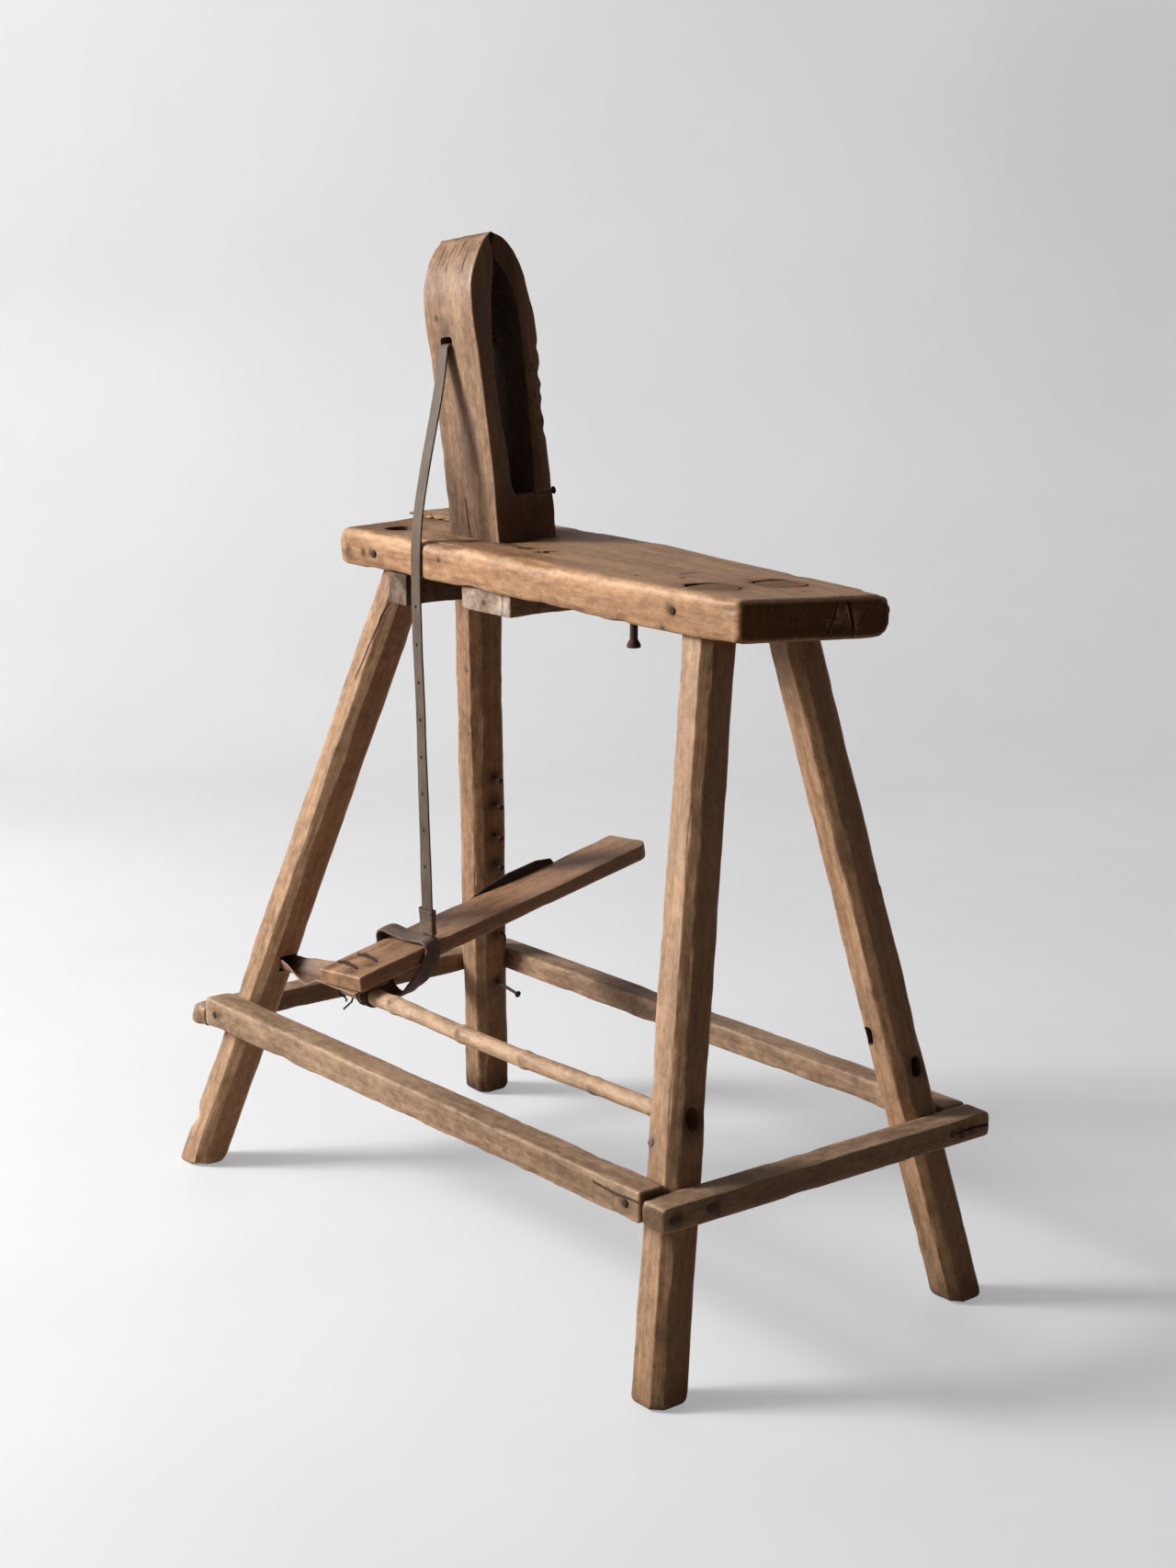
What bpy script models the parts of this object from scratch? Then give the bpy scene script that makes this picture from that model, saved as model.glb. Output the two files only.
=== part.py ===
"""Saddle maker bench: a stitching horse with a foot treadle, a strap and a wooden clamp.

Lengths are in metres. X runs along the bench towards the seat end, Y runs from the near long side to the
far one, and Z is up from the floor. Pieces are placed in the bench frame, under one empty that moves the
whole bench so that its box stands centred over the origin.
"""

import math

import bmesh
import bpy
import numpy as np
from mathutils import Matrix, Vector

for old in list(bpy.data.objects):
    bpy.data.objects.remove(old, do_unlink=True)

# Clearance and placing
GAP = 0.0003
SHIFT_X = 0.0306
SHIFT_Y = -0.0430

# Seat plank
PLANK_TOP_Z = 0.7487
PLANK_THICK = 0.0407
PLANK_NEAR_Y = -0.075
PLANK_FAR_SEAT_Y = 0.126
PLANK_FAR_CLAMP_Y = 0.135
PLANK_SEAT_X = 0.342
PLANK_CLAMP_X = -0.338
PLANK_CLAMP_SKEW = 0.22
PLANK_WIND_DEG = 4.0
PLANK_WIND_FROM_X = 0.0
PLANK_EDGE_R = 0.009
PLANK_END_R = 0.009

# Legs: foot centre on the floor, and centre at the plank's underside
LEG_SIDE = 0.046
LEG_CHAMFER = 0.009
LEG_TOP_Z = PLANK_TOP_Z - PLANK_THICK
FOOT_CLAMP_NEAR = (-0.4440, -0.2078)
FOOT_CLAMP_FAR = (-0.4440, 0.2078)
FOOT_SEAT_NEAR = (0.3825, -0.2011)
FOOT_SEAT_FAR = (0.3825, 0.2011)
HEAD_CLAMP_NEAR = (-0.2550, -0.0330)
HEAD_CLAMP_FAR = (-0.2550, 0.0620)
HEAD_SEAT_NEAR = (0.2560, -0.0360)
HEAD_SEAT_FAR = (0.2560, 0.0660)
TENON_RECESS = 0.0008
TENON_RECESS_BROKEN = 0.0120

# Floor rails
RAIL_Z = 0.1770
RAIL_NEAR_THICK = 0.0340
RAIL_NEAR_TALL = 0.0320
RAIL_NEAR_OUT_Y = -0.2150
RAIL_FAR_THICK = 0.0310
RAIL_FAR_TALL = 0.0260
RAIL_FAR_OUT_Y = 0.2195
RAIL_CLAMP_THICK = 0.0310
RAIL_CLAMP_TALL = 0.0240
RAIL_CLAMP_OUT_X = -0.4465
RAIL_CLAMP_Z = 0.1710
RAIL_SEAT_THICK = 0.0330
RAIL_SEAT_TALL = 0.0250
RAIL_SEAT_OUT_X = 0.4035
RAIL_END_SHORT = 0.0010
RAIL_SEAT_Y0 = -0.2145
RAIL_SEAT_Y1 = 0.2205
RAIL_CLAMP_Y0 = -0.2165
RAIL_CLAMP_Y1 = 0.2195

# Battens under the plank
BATTEN_END_X = -0.2230
BATTEN_END_WIDE = 0.0340
BATTEN_END_TALL = 0.0335
BATTEN_MID_X = -0.0690
BATTEN_MID_WIDE = 0.0860
BATTEN_MID_TALL = 0.0240
BATTEN_NEAR_Y = -0.0700
BATTEN_MID_NEAR_Y = -0.0640
BATTEN_FAR_Y = 0.1020

# Patch on the plank behind the clamp
PATCH_X0 = -0.3640
PATCH_X1 = -0.2200
PATCH_Y0 = 0.0440
PATCH_Y1 = 0.1240
PATCH_THICK = 0.0045

# Clamp: its own frame stands on the plank, u across the jaws, w the way they open, h up
CLAMP_X = -0.1570
CLAMP_Y = 0.0250
CLAMP_Z = PLANK_TOP_Z - 0.0007
CLAMP_LEAN_X_DEG = 7.7
CLAMP_LEAN_Y_DEG = 3.0
JAW_WIDE = 0.0900
JAW_TOP_H = 0.3220
JAW_MOUTH_H = 0.2910
JAW_MOUTH_W = 0.0020
LEDGE_H = 0.0430
BASE_SUNK = 0.0280
JAW_BACK_W = 0.0410
STRAP_U = -0.0100
STRAP_H = 0.2105
STRAP_SLOT_WIDE = 0.0205
STRAP_SLOT_TALL = 0.0100
STRAP_SLOT_RISE = 0.0030

# Leather
STRAP_WIDE = 0.0165
STRAP_THICK = 0.0022
HINGE_LEATHER_THICK = 0.0025
JAW_LEATHER_INSET = 0.0070
JAW_LEATHER_LOW_H = 0.0120
JAW_LEATHER_HIGH_H = 0.0840
LOOP_WIDE = 0.0215
LOOP_THICK = 0.0025
LOOP_LIFT = 0.0062
LOOP_SAG = 0.0270
LOOP_SKEW = 0.0500
LOOP_TRAIL = 0.0440
SLEEVE_WALL = 0.0022
SLEEVE_LOW = 0.0042
SLEEVE_LONG = 0.0285

# Treadle: the pivot line runs along X
PIVOT_Y = -0.1420
PIVOT_Z = 0.2575
BOARD_NEAR = (-0.2147, -0.1616, 0.2746)
BOARD_FAR = (-0.2860, 0.3116, 0.3410)
BOARD_ROLL_DEG = 2.2
BOARD_WIDE = 0.0690
BOARD_THICK = 0.0180
BOARD_TIP_CUT = 0.0140
LOOP_C = 0.1080
LOOP_SLIT_C = 0.1150
LOOP_SLIT_A = 0.0250
PLATE_THICK = 0.0025
ROD_R = 0.0100
ROD_TENON_R = 0.0060
ROD_X0 = -0.2520
ROD_Z0 = 0.2453
ROD_SKEW_Y = 0.0130
ROD_SHOULDER_X = 0.3060
ROD_X1 = 0.3460
ROD_BOW = -0.0015
ROD_SLOT_Z = 0.2620
ROD_SLOT_WIDE = 0.0140
ROD_SLOT_TALL = 0.0220
WIRE_R = 0.0011
WIRE_X0 = -0.2445
WIRE_X1 = -0.2065
WIRE_HALF_Y = 0.0130
TREADLE_LEATHER_IN = 0.0277
TREADLE_LEATHER_X1 = -0.1870
TREADLE_LEATHER_Y0 = -0.1600
TREADLE_LEATHER_Y1 = -0.1140
TROUGH_Z = 0.2425
TROUGH_NEAR = 0.0031
TROUGH_FAR = 0.0189
TROUGH_DEEP = 0.0150

# Iron
NAIL_R = 0.0017
NAIL_HEAD_R = 0.0042
NAIL_HEAD_TALL = 0.0016
TACK_R = 0.0011
TACK_HEAD_R = 0.0032
PEG_R = 0.0042
RATCHET_OUT = 0.0150
LONG_NAIL_OUT = 0.0440
BOLT_X = 0.1700
BOLT_Y = -0.0600
BOLT_R = 0.0040
BOLT_HEAD_R = 0.0072
BOLT_LOW_Z = PLANK_TOP_Z - 0.0692

PARTS = bpy.data.collections.new("saddle_maker_bench")
CUTTERS = bpy.data.collections.new("cutters")
bpy.context.scene.collection.children.link(PARTS)
bpy.context.scene.collection.children.link(CUTTERS)

WOOD_PLANK = ((0.46, 0.27, 0.14), 0.48, 0.0)
WOOD_LEG = ((0.27, 0.165, 0.09), 0.55, 0.0)
WOOD_RAIL = ((0.25, 0.165, 0.10), 0.6, 0.0)
WOOD_GREY = ((0.22, 0.16, 0.11), 0.7, 0.0)
WOOD_JAW = ((0.34, 0.21, 0.12), 0.5, 0.0)
WOOD_ROD = ((0.42, 0.28, 0.16), 0.55, 0.0)
LEATHER = ((0.16, 0.12, 0.095), 0.65, 0.0)
RUST = ((0.07, 0.045, 0.035), 0.7, 0.6)


def empty(name, matrix, parent=None):
    """An empty that carries pieces, placed in the bench frame. It is a helper, so it isn't rendered."""
    obj = bpy.data.objects.new(name, None)
    PARTS.objects.link(obj)
    obj.parent = parent
    obj.location = matrix.to_translation()
    obj.rotation_euler = matrix.to_euler()
    obj.hide_render = True
    return obj


CLAMP = (
    Matrix.Translation((CLAMP_X, CLAMP_Y, CLAMP_Z))
    @ Matrix.Rotation(math.radians(-CLAMP_LEAN_X_DEG), 4, "Y")
    @ Matrix.Rotation(math.radians(CLAMP_LEAN_Y_DEG), 4, "X")
)
JAW_PIVOT = CLAMP @ Matrix.Translation((0.0, JAW_BACK_W, LEDGE_H + GAP))
TREADLE_PIVOT = Matrix.Translation((BOARD_NEAR[0], PIVOT_Y, PIVOT_Z))

BENCH = empty("bench", Matrix.Translation((SHIFT_X, SHIFT_Y, 0.0)))
JAW = empty("moving_jaw_hinge", JAW_PIVOT, BENCH)
TREADLE = empty("treadle_pivot", TREADLE_PIVOT, BENCH)
FRAMES = {"bench": Matrix(), "moving_jaw_hinge": JAW_PIVOT, "treadle_pivot": TREADLE_PIVOT}


def paint(obj, look):
    """Give an object its own material from a colour, roughness and metal value."""
    colour, rough, metal = look
    mat = bpy.data.materials.new(obj.name)
    mat.use_nodes = True
    shader = mat.node_tree.nodes["Principled BSDF"]
    shader.inputs["Base Color"].default_value = (*colour, 1.0)
    shader.inputs["Roughness"].default_value = rough
    shader.inputs["Metallic"].default_value = metal
    obj.data.materials.append(mat)


def make(name, bm, look=None, matrix=None, parent=None):
    """Turn a bmesh into a placed object. Without a look it is a cutter, hidden from the render."""
    bmesh.ops.recalc_face_normals(bm, faces=bm.faces[:])
    mesh = bpy.data.meshes.new(name)
    bm.to_mesh(mesh)
    bm.free()
    obj = bpy.data.objects.new(name, mesh)
    holder = parent or BENCH
    place = FRAMES[holder.name].inverted() @ (matrix or Matrix())
    obj.parent = holder
    obj.location = place.to_translation()
    obj.rotation_euler = place.to_euler()
    if look is None:
        CUTTERS.objects.link(obj)
        obj.hide_render = True
        obj.display_type = "WIRE"
    else:
        PARTS.objects.link(obj)
        paint(obj, look)
    return obj


def loft(name, rings, look=None, matrix=None, parent=None, shut=False):
    """Skin a row of matching point rings into one closed solid. A shut row joins its ends."""
    bm = bmesh.new()
    rows = [[bm.verts.new(p) for p in ring] for ring in rings]
    spans = len(rows) if shut else len(rows) - 1
    count = len(rows[0])
    for i in range(spans):
        low = rows[i]
        high = rows[(i + 1) % len(rows)]
        for j in range(count):
            k = (j + 1) % count
            bm.faces.new((low[j], low[k], high[k], high[j]))
    if not shut:
        bm.faces.new(rows[0])
        bm.faces.new(rows[-1])
    return make(name, bm, look, matrix, parent)


def slab(name, x, y, z, look=None, matrix=None, parent=None):
    """A box between two limits on each axis, placed by its centre."""
    bm = bmesh.new()
    bmesh.ops.create_cube(bm, size=1.0)
    size = (x[1] - x[0], y[1] - y[0], z[1] - z[0])
    bmesh.ops.scale(bm, vec=size, verts=bm.verts[:])
    centre = ((x[0] + x[1]) / 2, (y[0] + y[1]) / 2, (z[0] + z[1]) / 2)
    return make(name, bm, look, (matrix or Matrix()) @ Matrix.Translation(centre), parent)


def soften(obj, width, segments=2, angle=35.0):
    """Round an object's sharp edges."""
    mod = obj.modifiers.new("soften", "BEVEL")
    mod.width = width
    mod.segments = segments
    mod.limit_method = "ANGLE"
    mod.angle_limit = math.radians(angle)


def cut(obj, cutter):
    """Take a cutter's shape out of an object."""
    mod = obj.modifiers.new("cut", "BOOLEAN")
    mod.operation = "DIFFERENCE"
    mod.solver = "EXACT"
    mod.object = cutter


def aim(point, direction):
    """A frame at a point whose Z axis looks along a direction."""
    turn = Vector(direction).to_track_quat("Z", "Y").to_matrix().to_4x4()
    return Matrix.Translation(point) @ turn


def turned(name, profile, look, matrix, parent=None, sides=12):
    """A turned solid from (radius, height) pairs along the frame's Z axis."""
    rings = []
    for radius, height in profile:
        turn = np.linspace(0.0, 2.0 * math.pi, sides, endpoint=False)
        rings.append([(radius * math.cos(t), radius * math.sin(t), height) for t in turn])
    return loft(name, rings, look, matrix, parent)


def nail(name, point, out, length, into, parent=None, r=NAIL_R, head=NAIL_HEAD_R, stand=0.0):
    """A round nail whose head stands off a surface point, with a hole for it in each piece it goes into."""
    low = stand + GAP
    tall = NAIL_HEAD_TALL * head / NAIL_HEAD_R
    profile = [
        (r * 0.3, -length),
        (r * 0.9, -length + 2.5 * r),
        (r, -length + 4.0 * r),
        (r, low),
        (head, low),
        (head, low + 0.45 * tall),
        (head * 0.6, low + tall),
    ]
    matrix = aim(point, out)
    obj = turned(name, profile, RUST, matrix, parent)
    hole = [(r + GAP, -length - GAP), (r + GAP, low)]
    cutter = turned(name + "_hole", hole, None, matrix, parent)
    for piece in into:
        cut(piece, cutter)
    return obj


def smooth_line(points, count, shut=False):
    """Even points along a smooth curve through the given ones: cubic pieces with averaged slopes."""
    pts = np.array(points, dtype=float)
    first, last = 0, len(pts) - 1
    if shut:
        first, last = 2, len(pts) + 2
        pts = np.vstack([pts[-2:], pts, pts[:3]])
    span = np.linalg.norm(np.diff(pts, axis=0), axis=1)[:, None]
    slope = np.diff(pts, axis=0) / span
    inner = (slope[:-1] * span[1:] + slope[1:] * span[:-1]) / (span[1:] + span[:-1])
    lead = np.vstack([slope[:1], inner, slope[-1:]])
    fine = []
    for i in range(first, last):
        t = np.linspace(0.0, 1.0, 24, endpoint=False)[:, None]
        rise = span[i]
        fine.append(
            (2 * t**3 - 3 * t**2 + 1) * pts[i]
            + (t**3 - 2 * t**2 + t) * rise * lead[i]
            + (3 * t**2 - 2 * t**3) * pts[i + 1]
            + (t**3 - t**2) * rise * lead[i + 1]
        )
    fine = np.vstack(fine + [pts[last:last + 1]])
    run = np.r_[0.0, np.cumsum(np.linalg.norm(np.diff(fine, axis=0), axis=1))]
    ends = np.linspace(0.0, run[-1], count + 1)[:-1] if shut else np.linspace(0.0, run[-1], count)
    return np.column_stack([np.interp(ends, run, fine[:, k]) for k in range(fine.shape[1])])


def band(name, path, across, wide, thick, look, matrix=None, parent=None, shut=False):
    """A flat strap along a path. The across vectors give its width direction at each point."""
    path = np.array(path, dtype=float)
    across = np.array(across, dtype=float)
    if shut:
        ahead = np.roll(path, -1, axis=0) - np.roll(path, 1, axis=0)
    else:
        ahead = np.gradient(path, axis=0)
    ahead /= np.linalg.norm(ahead, axis=1)[:, None]
    across = across - ahead * np.sum(across * ahead, axis=1)[:, None]
    across /= np.linalg.norm(across, axis=1)[:, None]
    up = np.cross(ahead, across)
    rings = []
    for p, a, n in zip(path, across, up):
        w = a * wide / 2
        t = n * thick / 2
        rings.append([p - w - t, p + w - t, p + w + t, p - w + t])
    return loft(name, rings, look, matrix, parent, shut)


def wire(name, points, radius, look, parent=None):
    """A round wire along a line of points, made from a bevelled curve with closed ends."""
    curve = bpy.data.curves.new(name, "CURVE")
    curve.dimensions = "3D"
    curve.bevel_depth = radius
    curve.bevel_resolution = 2
    curve.use_fill_caps = True
    line = curve.splines.new("POLY")
    line.points.add(len(points) - 1)
    for target, p in zip(line.points, points):
        target.co = (*p, 1.0)
    holder = bpy.data.objects.new(name + "_line", curve)
    bpy.context.scene.collection.objects.link(holder)
    bpy.context.view_layer.update()
    mesh = bpy.data.meshes.new_from_object(holder)
    bpy.data.objects.remove(holder, do_unlink=True)
    bm = bmesh.new()
    bm.from_mesh(mesh)
    bmesh.ops.remove_doubles(bm, verts=bm.verts[:], dist=0.00002)
    return make(name, bm, look, None, parent)


def wind(x):
    """How far the plank is twisted at x, as a slope across its width."""
    share = (x - PLANK_WIND_FROM_X) / (PLANK_SEAT_X - PLANK_WIND_FROM_X)
    return math.tan(math.radians(PLANK_WIND_DEG)) * min(max(share, 0.0), 1.0)


def plank_top(x, y):
    """Height of the plank's top at a point."""
    return PLANK_TOP_Z - wind(x) * (y - PLANK_NEAR_Y)


def leg_centre(foot, head, z):
    """Centre of a leg at a height."""
    t = z / LEG_TOP_Z
    return foot[0] + (head[0] - foot[0]) * t, foot[1] + (head[1] - foot[1]) * t


def leg_ring(foot, head, z, grow, slope=0.0):
    """The chamfered outline of a leg at a height, grown by a clearance, on a plane sloped across Y."""
    cx, cy = leg_centre(foot, head, z)
    h = LEG_SIDE / 2 + grow
    s = h - LEG_CHAMFER
    flat = [(h, -s), (h, s), (s, h), (-s, h), (-h, s), (-h, -s), (-s, -h), (s, -h)]
    return [(cx + x, cy + y, z - slope * y) for x, y in flat]


def leg(name, foot, head, recess):
    """A leg from the floor to just below the plank's top, and the cutter that makes room for it."""
    cx, cy = leg_centre(foot, head, PLANK_TOP_Z)
    top = plank_top(cx, cy) - recess
    rings = [leg_ring(foot, head, 0.0, 0.0), leg_ring(foot, head, top, 0.0, wind(cx))]
    obj = loft(name, rings, WOOD_LEG)
    soften(obj, 0.0016)
    room = [leg_ring(foot, head, -0.02, GAP), leg_ring(foot, head, PLANK_TOP_Z + 0.0513, GAP)]
    return obj, loft(name + "_room", room)


LEG_CN, ROOM_CN = leg("leg_clamp_near", FOOT_CLAMP_NEAR, HEAD_CLAMP_NEAR, TENON_RECESS_BROKEN)
LEG_CF, ROOM_CF = leg("leg_clamp_far", FOOT_CLAMP_FAR, HEAD_CLAMP_FAR, TENON_RECESS)
LEG_SN, ROOM_SN = leg("leg_seat_near", FOOT_SEAT_NEAR, HEAD_SEAT_NEAR, TENON_RECESS)
LEG_SF, ROOM_SF = leg("leg_seat_far", FOOT_SEAT_FAR, HEAD_SEAT_FAR, TENON_RECESS)


def plank_section(inset):
    """The plank's rounded outline as shares across its width and thickness, pulled in by an inset."""
    r = max(PLANK_EDGE_R - inset * 0.4, 0.003)
    out = []
    for cy, cz, start in ((1, 1, 0), (-1, 1, 90), (-1, -1, 180), (1, -1, 270)):
        for k in range(5):
            t = math.radians(start + 90.0 * k / 4)
            out.append((cy, cz, r * (math.cos(t) - cy), r * (math.sin(t) - cz)))
    return out


def plank_ring(x, inset):
    """One section of the plank, with its taper, its skewed clamp end and its wind."""
    share = (x - PLANK_CLAMP_X) / (PLANK_SEAT_X - PLANK_CLAMP_X)
    far = PLANK_FAR_CLAMP_Y + (PLANK_FAR_SEAT_Y - PLANK_FAR_CLAMP_Y) * share
    near = PLANK_NEAR_Y
    half = (far - near) / 2 - inset
    mid = (far + near) / 2
    tall = PLANK_THICK / 2 - inset
    skew = PLANK_CLAMP_SKEW * min(max(x / PLANK_CLAMP_X, 0.0), 1.0)
    ring = []
    for cy, cz, dy, dz in plank_section(inset):
        y = mid + cy * half + dy
        z = PLANK_TOP_Z - PLANK_THICK / 2 + cz * tall + dz
        ring.append((x - skew * (y - near), y, z - wind(x) * (y - near)))
    return ring


PLANK_RINGS = []
for k in range(4):
    turn = math.radians(90.0 - 30.0 * k)
    inset = PLANK_END_R * (1 - math.cos(turn))
    PLANK_RINGS.append((PLANK_CLAMP_X + PLANK_END_R * (1 - math.sin(turn)), inset))
for x in np.linspace(PLANK_CLAMP_X + PLANK_END_R, PLANK_SEAT_X - PLANK_END_R, 19)[1:-1]:
    PLANK_RINGS.append((float(x), 0.0))
for k in range(4):
    turn = math.radians(30.0 * k)
    inset = PLANK_END_R * (1 - math.cos(turn))
    PLANK_RINGS.append((PLANK_SEAT_X - PLANK_END_R * (1 - math.sin(turn)), inset))
PLANK = loft("seat_plank", [plank_ring(x, inset) for x, inset in PLANK_RINGS], WOOD_PLANK)
for room in (ROOM_CN, ROOM_CF, ROOM_SN, ROOM_SF):
    cut(PLANK, room)

# Floor rails, let in a little over the legs
RAIL_X0 = RAIL_CLAMP_OUT_X + RAIL_CLAMP_THICK + RAIL_END_SHORT
RAIL_X1 = RAIL_SEAT_OUT_X - RAIL_SEAT_THICK - RAIL_END_SHORT
RAIL_NEAR = slab(
    "rail_near",
    (RAIL_X0, RAIL_X1),
    (RAIL_NEAR_OUT_Y, RAIL_NEAR_OUT_Y + RAIL_NEAR_THICK),
    (RAIL_Z, RAIL_Z + RAIL_NEAR_TALL),
    WOOD_RAIL,
)
RAIL_FAR = slab(
    "rail_far",
    (RAIL_X0, RAIL_X1),
    (RAIL_FAR_OUT_Y - RAIL_FAR_THICK, RAIL_FAR_OUT_Y),
    (RAIL_Z, RAIL_Z + RAIL_FAR_TALL),
    WOOD_RAIL,
)
RAIL_CLAMP = slab(
    "rail_clamp_end",
    (RAIL_CLAMP_OUT_X, RAIL_CLAMP_OUT_X + RAIL_CLAMP_THICK),
    (RAIL_CLAMP_Y0, RAIL_CLAMP_Y1),
    (RAIL_CLAMP_Z, RAIL_CLAMP_Z + RAIL_CLAMP_TALL),
    WOOD_RAIL,
)
RAIL_SEAT = slab(
    "rail_seat_end",
    (RAIL_SEAT_OUT_X - RAIL_SEAT_THICK, RAIL_SEAT_OUT_X),
    (RAIL_SEAT_Y0, RAIL_SEAT_Y1),
    (RAIL_Z, RAIL_Z + RAIL_SEAT_TALL),
    WOOD_RAIL,
)
for rail in (RAIL_NEAR, RAIL_FAR, RAIL_CLAMP, RAIL_SEAT):
    soften(rail, 0.0025)
for rail, rooms in (
    (RAIL_NEAR, (ROOM_CN, ROOM_SN)),
    (RAIL_FAR, (ROOM_CF, ROOM_SF)),
    (RAIL_CLAMP, (ROOM_CN, ROOM_CF)),
    (RAIL_SEAT, (ROOM_SN, ROOM_SF)),
):
    for room in rooms:
        cut(rail, room)

# Battens
UNDER_Z = PLANK_TOP_Z - PLANK_THICK - GAP
BATTEN_END = slab(
    "batten_clamp_end",
    (BATTEN_END_X - BATTEN_END_WIDE / 2, BATTEN_END_X + BATTEN_END_WIDE / 2),
    (BATTEN_NEAR_Y, BATTEN_FAR_Y),
    (UNDER_Z - BATTEN_END_TALL, UNDER_Z),
    WOOD_GREY,
)
BATTEN_MID = slab(
    "batten_middle",
    (BATTEN_MID_X - BATTEN_MID_WIDE / 2, BATTEN_MID_X + BATTEN_MID_WIDE / 2),
    (BATTEN_MID_NEAR_Y, BATTEN_FAR_Y),
    (UNDER_Z - BATTEN_MID_TALL, UNDER_Z),
    WOOD_GREY,
)
for batten in (BATTEN_END, BATTEN_MID):
    soften(batten, 0.0015)
for room in (ROOM_CN, ROOM_CF):
    cut(BATTEN_END, room)

# Patch behind the clamp
PATCH = slab(
    "plank_patch",
    (PATCH_X0, PATCH_X1),
    (PATCH_Y0, PATCH_Y1),
    (PLANK_TOP_Z + GAP, PLANK_TOP_Z + GAP + PATCH_THICK),
    WOOD_GREY,
)
soften(PATCH, 0.0012)

# Fixed jaw with its base, one block cut from a side profile and sunk into the plank
FIXED_OUT = smooth_line(
    [(-0.039, 0.010), (-0.036, 0.060), (-0.0345, 0.130), (-0.0345, 0.200), (-0.0350, 0.245),
     (-0.0320, 0.270), (-0.0250, 0.290), (-0.0140, 0.308), (-0.0030, 0.3195)], 26)
FIXED_IN = smooth_line(
    [(JAW_MOUTH_W, JAW_MOUTH_H), (-0.0060, 0.258), (-0.0130, 0.208), (-0.0150, 0.144), (-0.0120, 0.083),
     (-0.0110, 0.050)], 18)
FIXED_SIDE = [(-0.0395, -BASE_SUNK)]
FIXED_SIDE += [tuple(p) for p in FIXED_OUT]
FIXED_SIDE += [(JAW_MOUTH_W, JAW_TOP_H)]
FIXED_SIDE += [tuple(p) for p in FIXED_IN]
FIXED_SIDE += [(-0.0080, LEDGE_H), (JAW_BACK_W, LEDGE_H), (JAW_BACK_W - 0.0015, -BASE_SUNK)]


def profile_block(name, side, half, look, lift=(0.0, 0.0), parent=None):
    """A block cut from a (w, h) outline, its width along u, placed in the clamp's frame."""
    rings = [[(u, w - lift[0], h - lift[1]) for w, h in side] for u in (-half, half)]
    matrix = CLAMP @ Matrix.Translation((0.0, lift[0], lift[1]))
    return loft(name, rings, look, matrix, parent)


FIXED_JAW = profile_block("fixed_jaw", FIXED_SIDE, JAW_WIDE / 2, WOOD_JAW)
soften(FIXED_JAW, 0.0020)
SINK = slab(
    "base_room",
    (-JAW_WIDE / 2 - GAP, JAW_WIDE / 2 + GAP),
    (-0.0400, JAW_BACK_W + GAP),
    (-BASE_SUNK - GAP, 0.0200),
    None,
    CLAMP,
)
cut(PLANK, SINK)

# Moving jaw, standing on the ledge behind the fixed one
HEEL_H = LEDGE_H + GAP
MOVING_IN = smooth_line(
    [(0.0155, HEEL_H), (0.0190, 0.075), (0.0220, 0.127), (0.0240, 0.178), (0.0240, 0.225), (0.0200, 0.261),
     (0.0120, 0.280), (JAW_MOUTH_W + GAP, 0.2920)], 24)
MOVING_OUT = smooth_line(
    [(0.0100, 0.3195), (0.0220, 0.3110), (0.0330, 0.2930), (0.0410, 0.2680), (0.0455, 0.2420),
     (0.0465, 0.2150), (0.0455, 0.1800), (0.0440, 0.1400), (0.0410, 0.0950)], 26)
MOVING_SIDE = [tuple(p) for p in MOVING_IN]
MOVING_SIDE += [(JAW_MOUTH_W + GAP, JAW_TOP_H)]
MOVING_SIDE += [tuple(p) for p in MOVING_OUT]
MOVING_SIDE += [(JAW_BACK_W, HEEL_H)]
MOVING_JAW = profile_block(
    "moving_jaw", MOVING_SIDE, JAW_WIDE / 2, WOOD_JAW, (JAW_BACK_W, HEEL_H), JAW)
soften(MOVING_JAW, 0.0020)

STRAP_SLOT = slab(
    "strap_slot",
    (STRAP_U - STRAP_SLOT_WIDE / 2, STRAP_U + STRAP_SLOT_WIDE / 2),
    (-0.0600, 0.0700),
    (STRAP_H + STRAP_SLOT_RISE - STRAP_SLOT_TALL / 2, STRAP_H + STRAP_SLOT_RISE + STRAP_SLOT_TALL / 2),
    None,
    CLAMP,
)
cut(FIXED_JAW, STRAP_SLOT)
cut(MOVING_JAW, STRAP_SLOT)


def clamp_point(u, w, h):
    """A point of the clamp's frame in the bench frame."""
    return CLAMP @ Vector((u, w, h))


def jaw_back(h):
    """How far back the moving jaw's outer face reaches at a height."""
    return float(np.interp(h, MOVING_OUT[::-1, 1], MOVING_OUT[::-1, 0]))


def jaw_front(h):
    """How far forward the fixed jaw's outer face reaches at a height."""
    return float(np.interp(h, FIXED_OUT[:, 1], FIXED_OUT[:, 0]))


BACK = (CLAMP.to_3x3() @ Vector((0.0, 1.0, 0.0))).normalized()
SIDE = (CLAMP.to_3x3() @ Vector((1.0, 0.0, 0.0))).normalized()

# Keeper nail in the joint under the moving jaw
nail("keeper_nail", clamp_point(JAW_WIDE / 2 - 0.0025, JAW_BACK_W, LEDGE_H), BACK, 0.058,
     (FIXED_JAW, MOVING_JAW), stand=0.0020)

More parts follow.
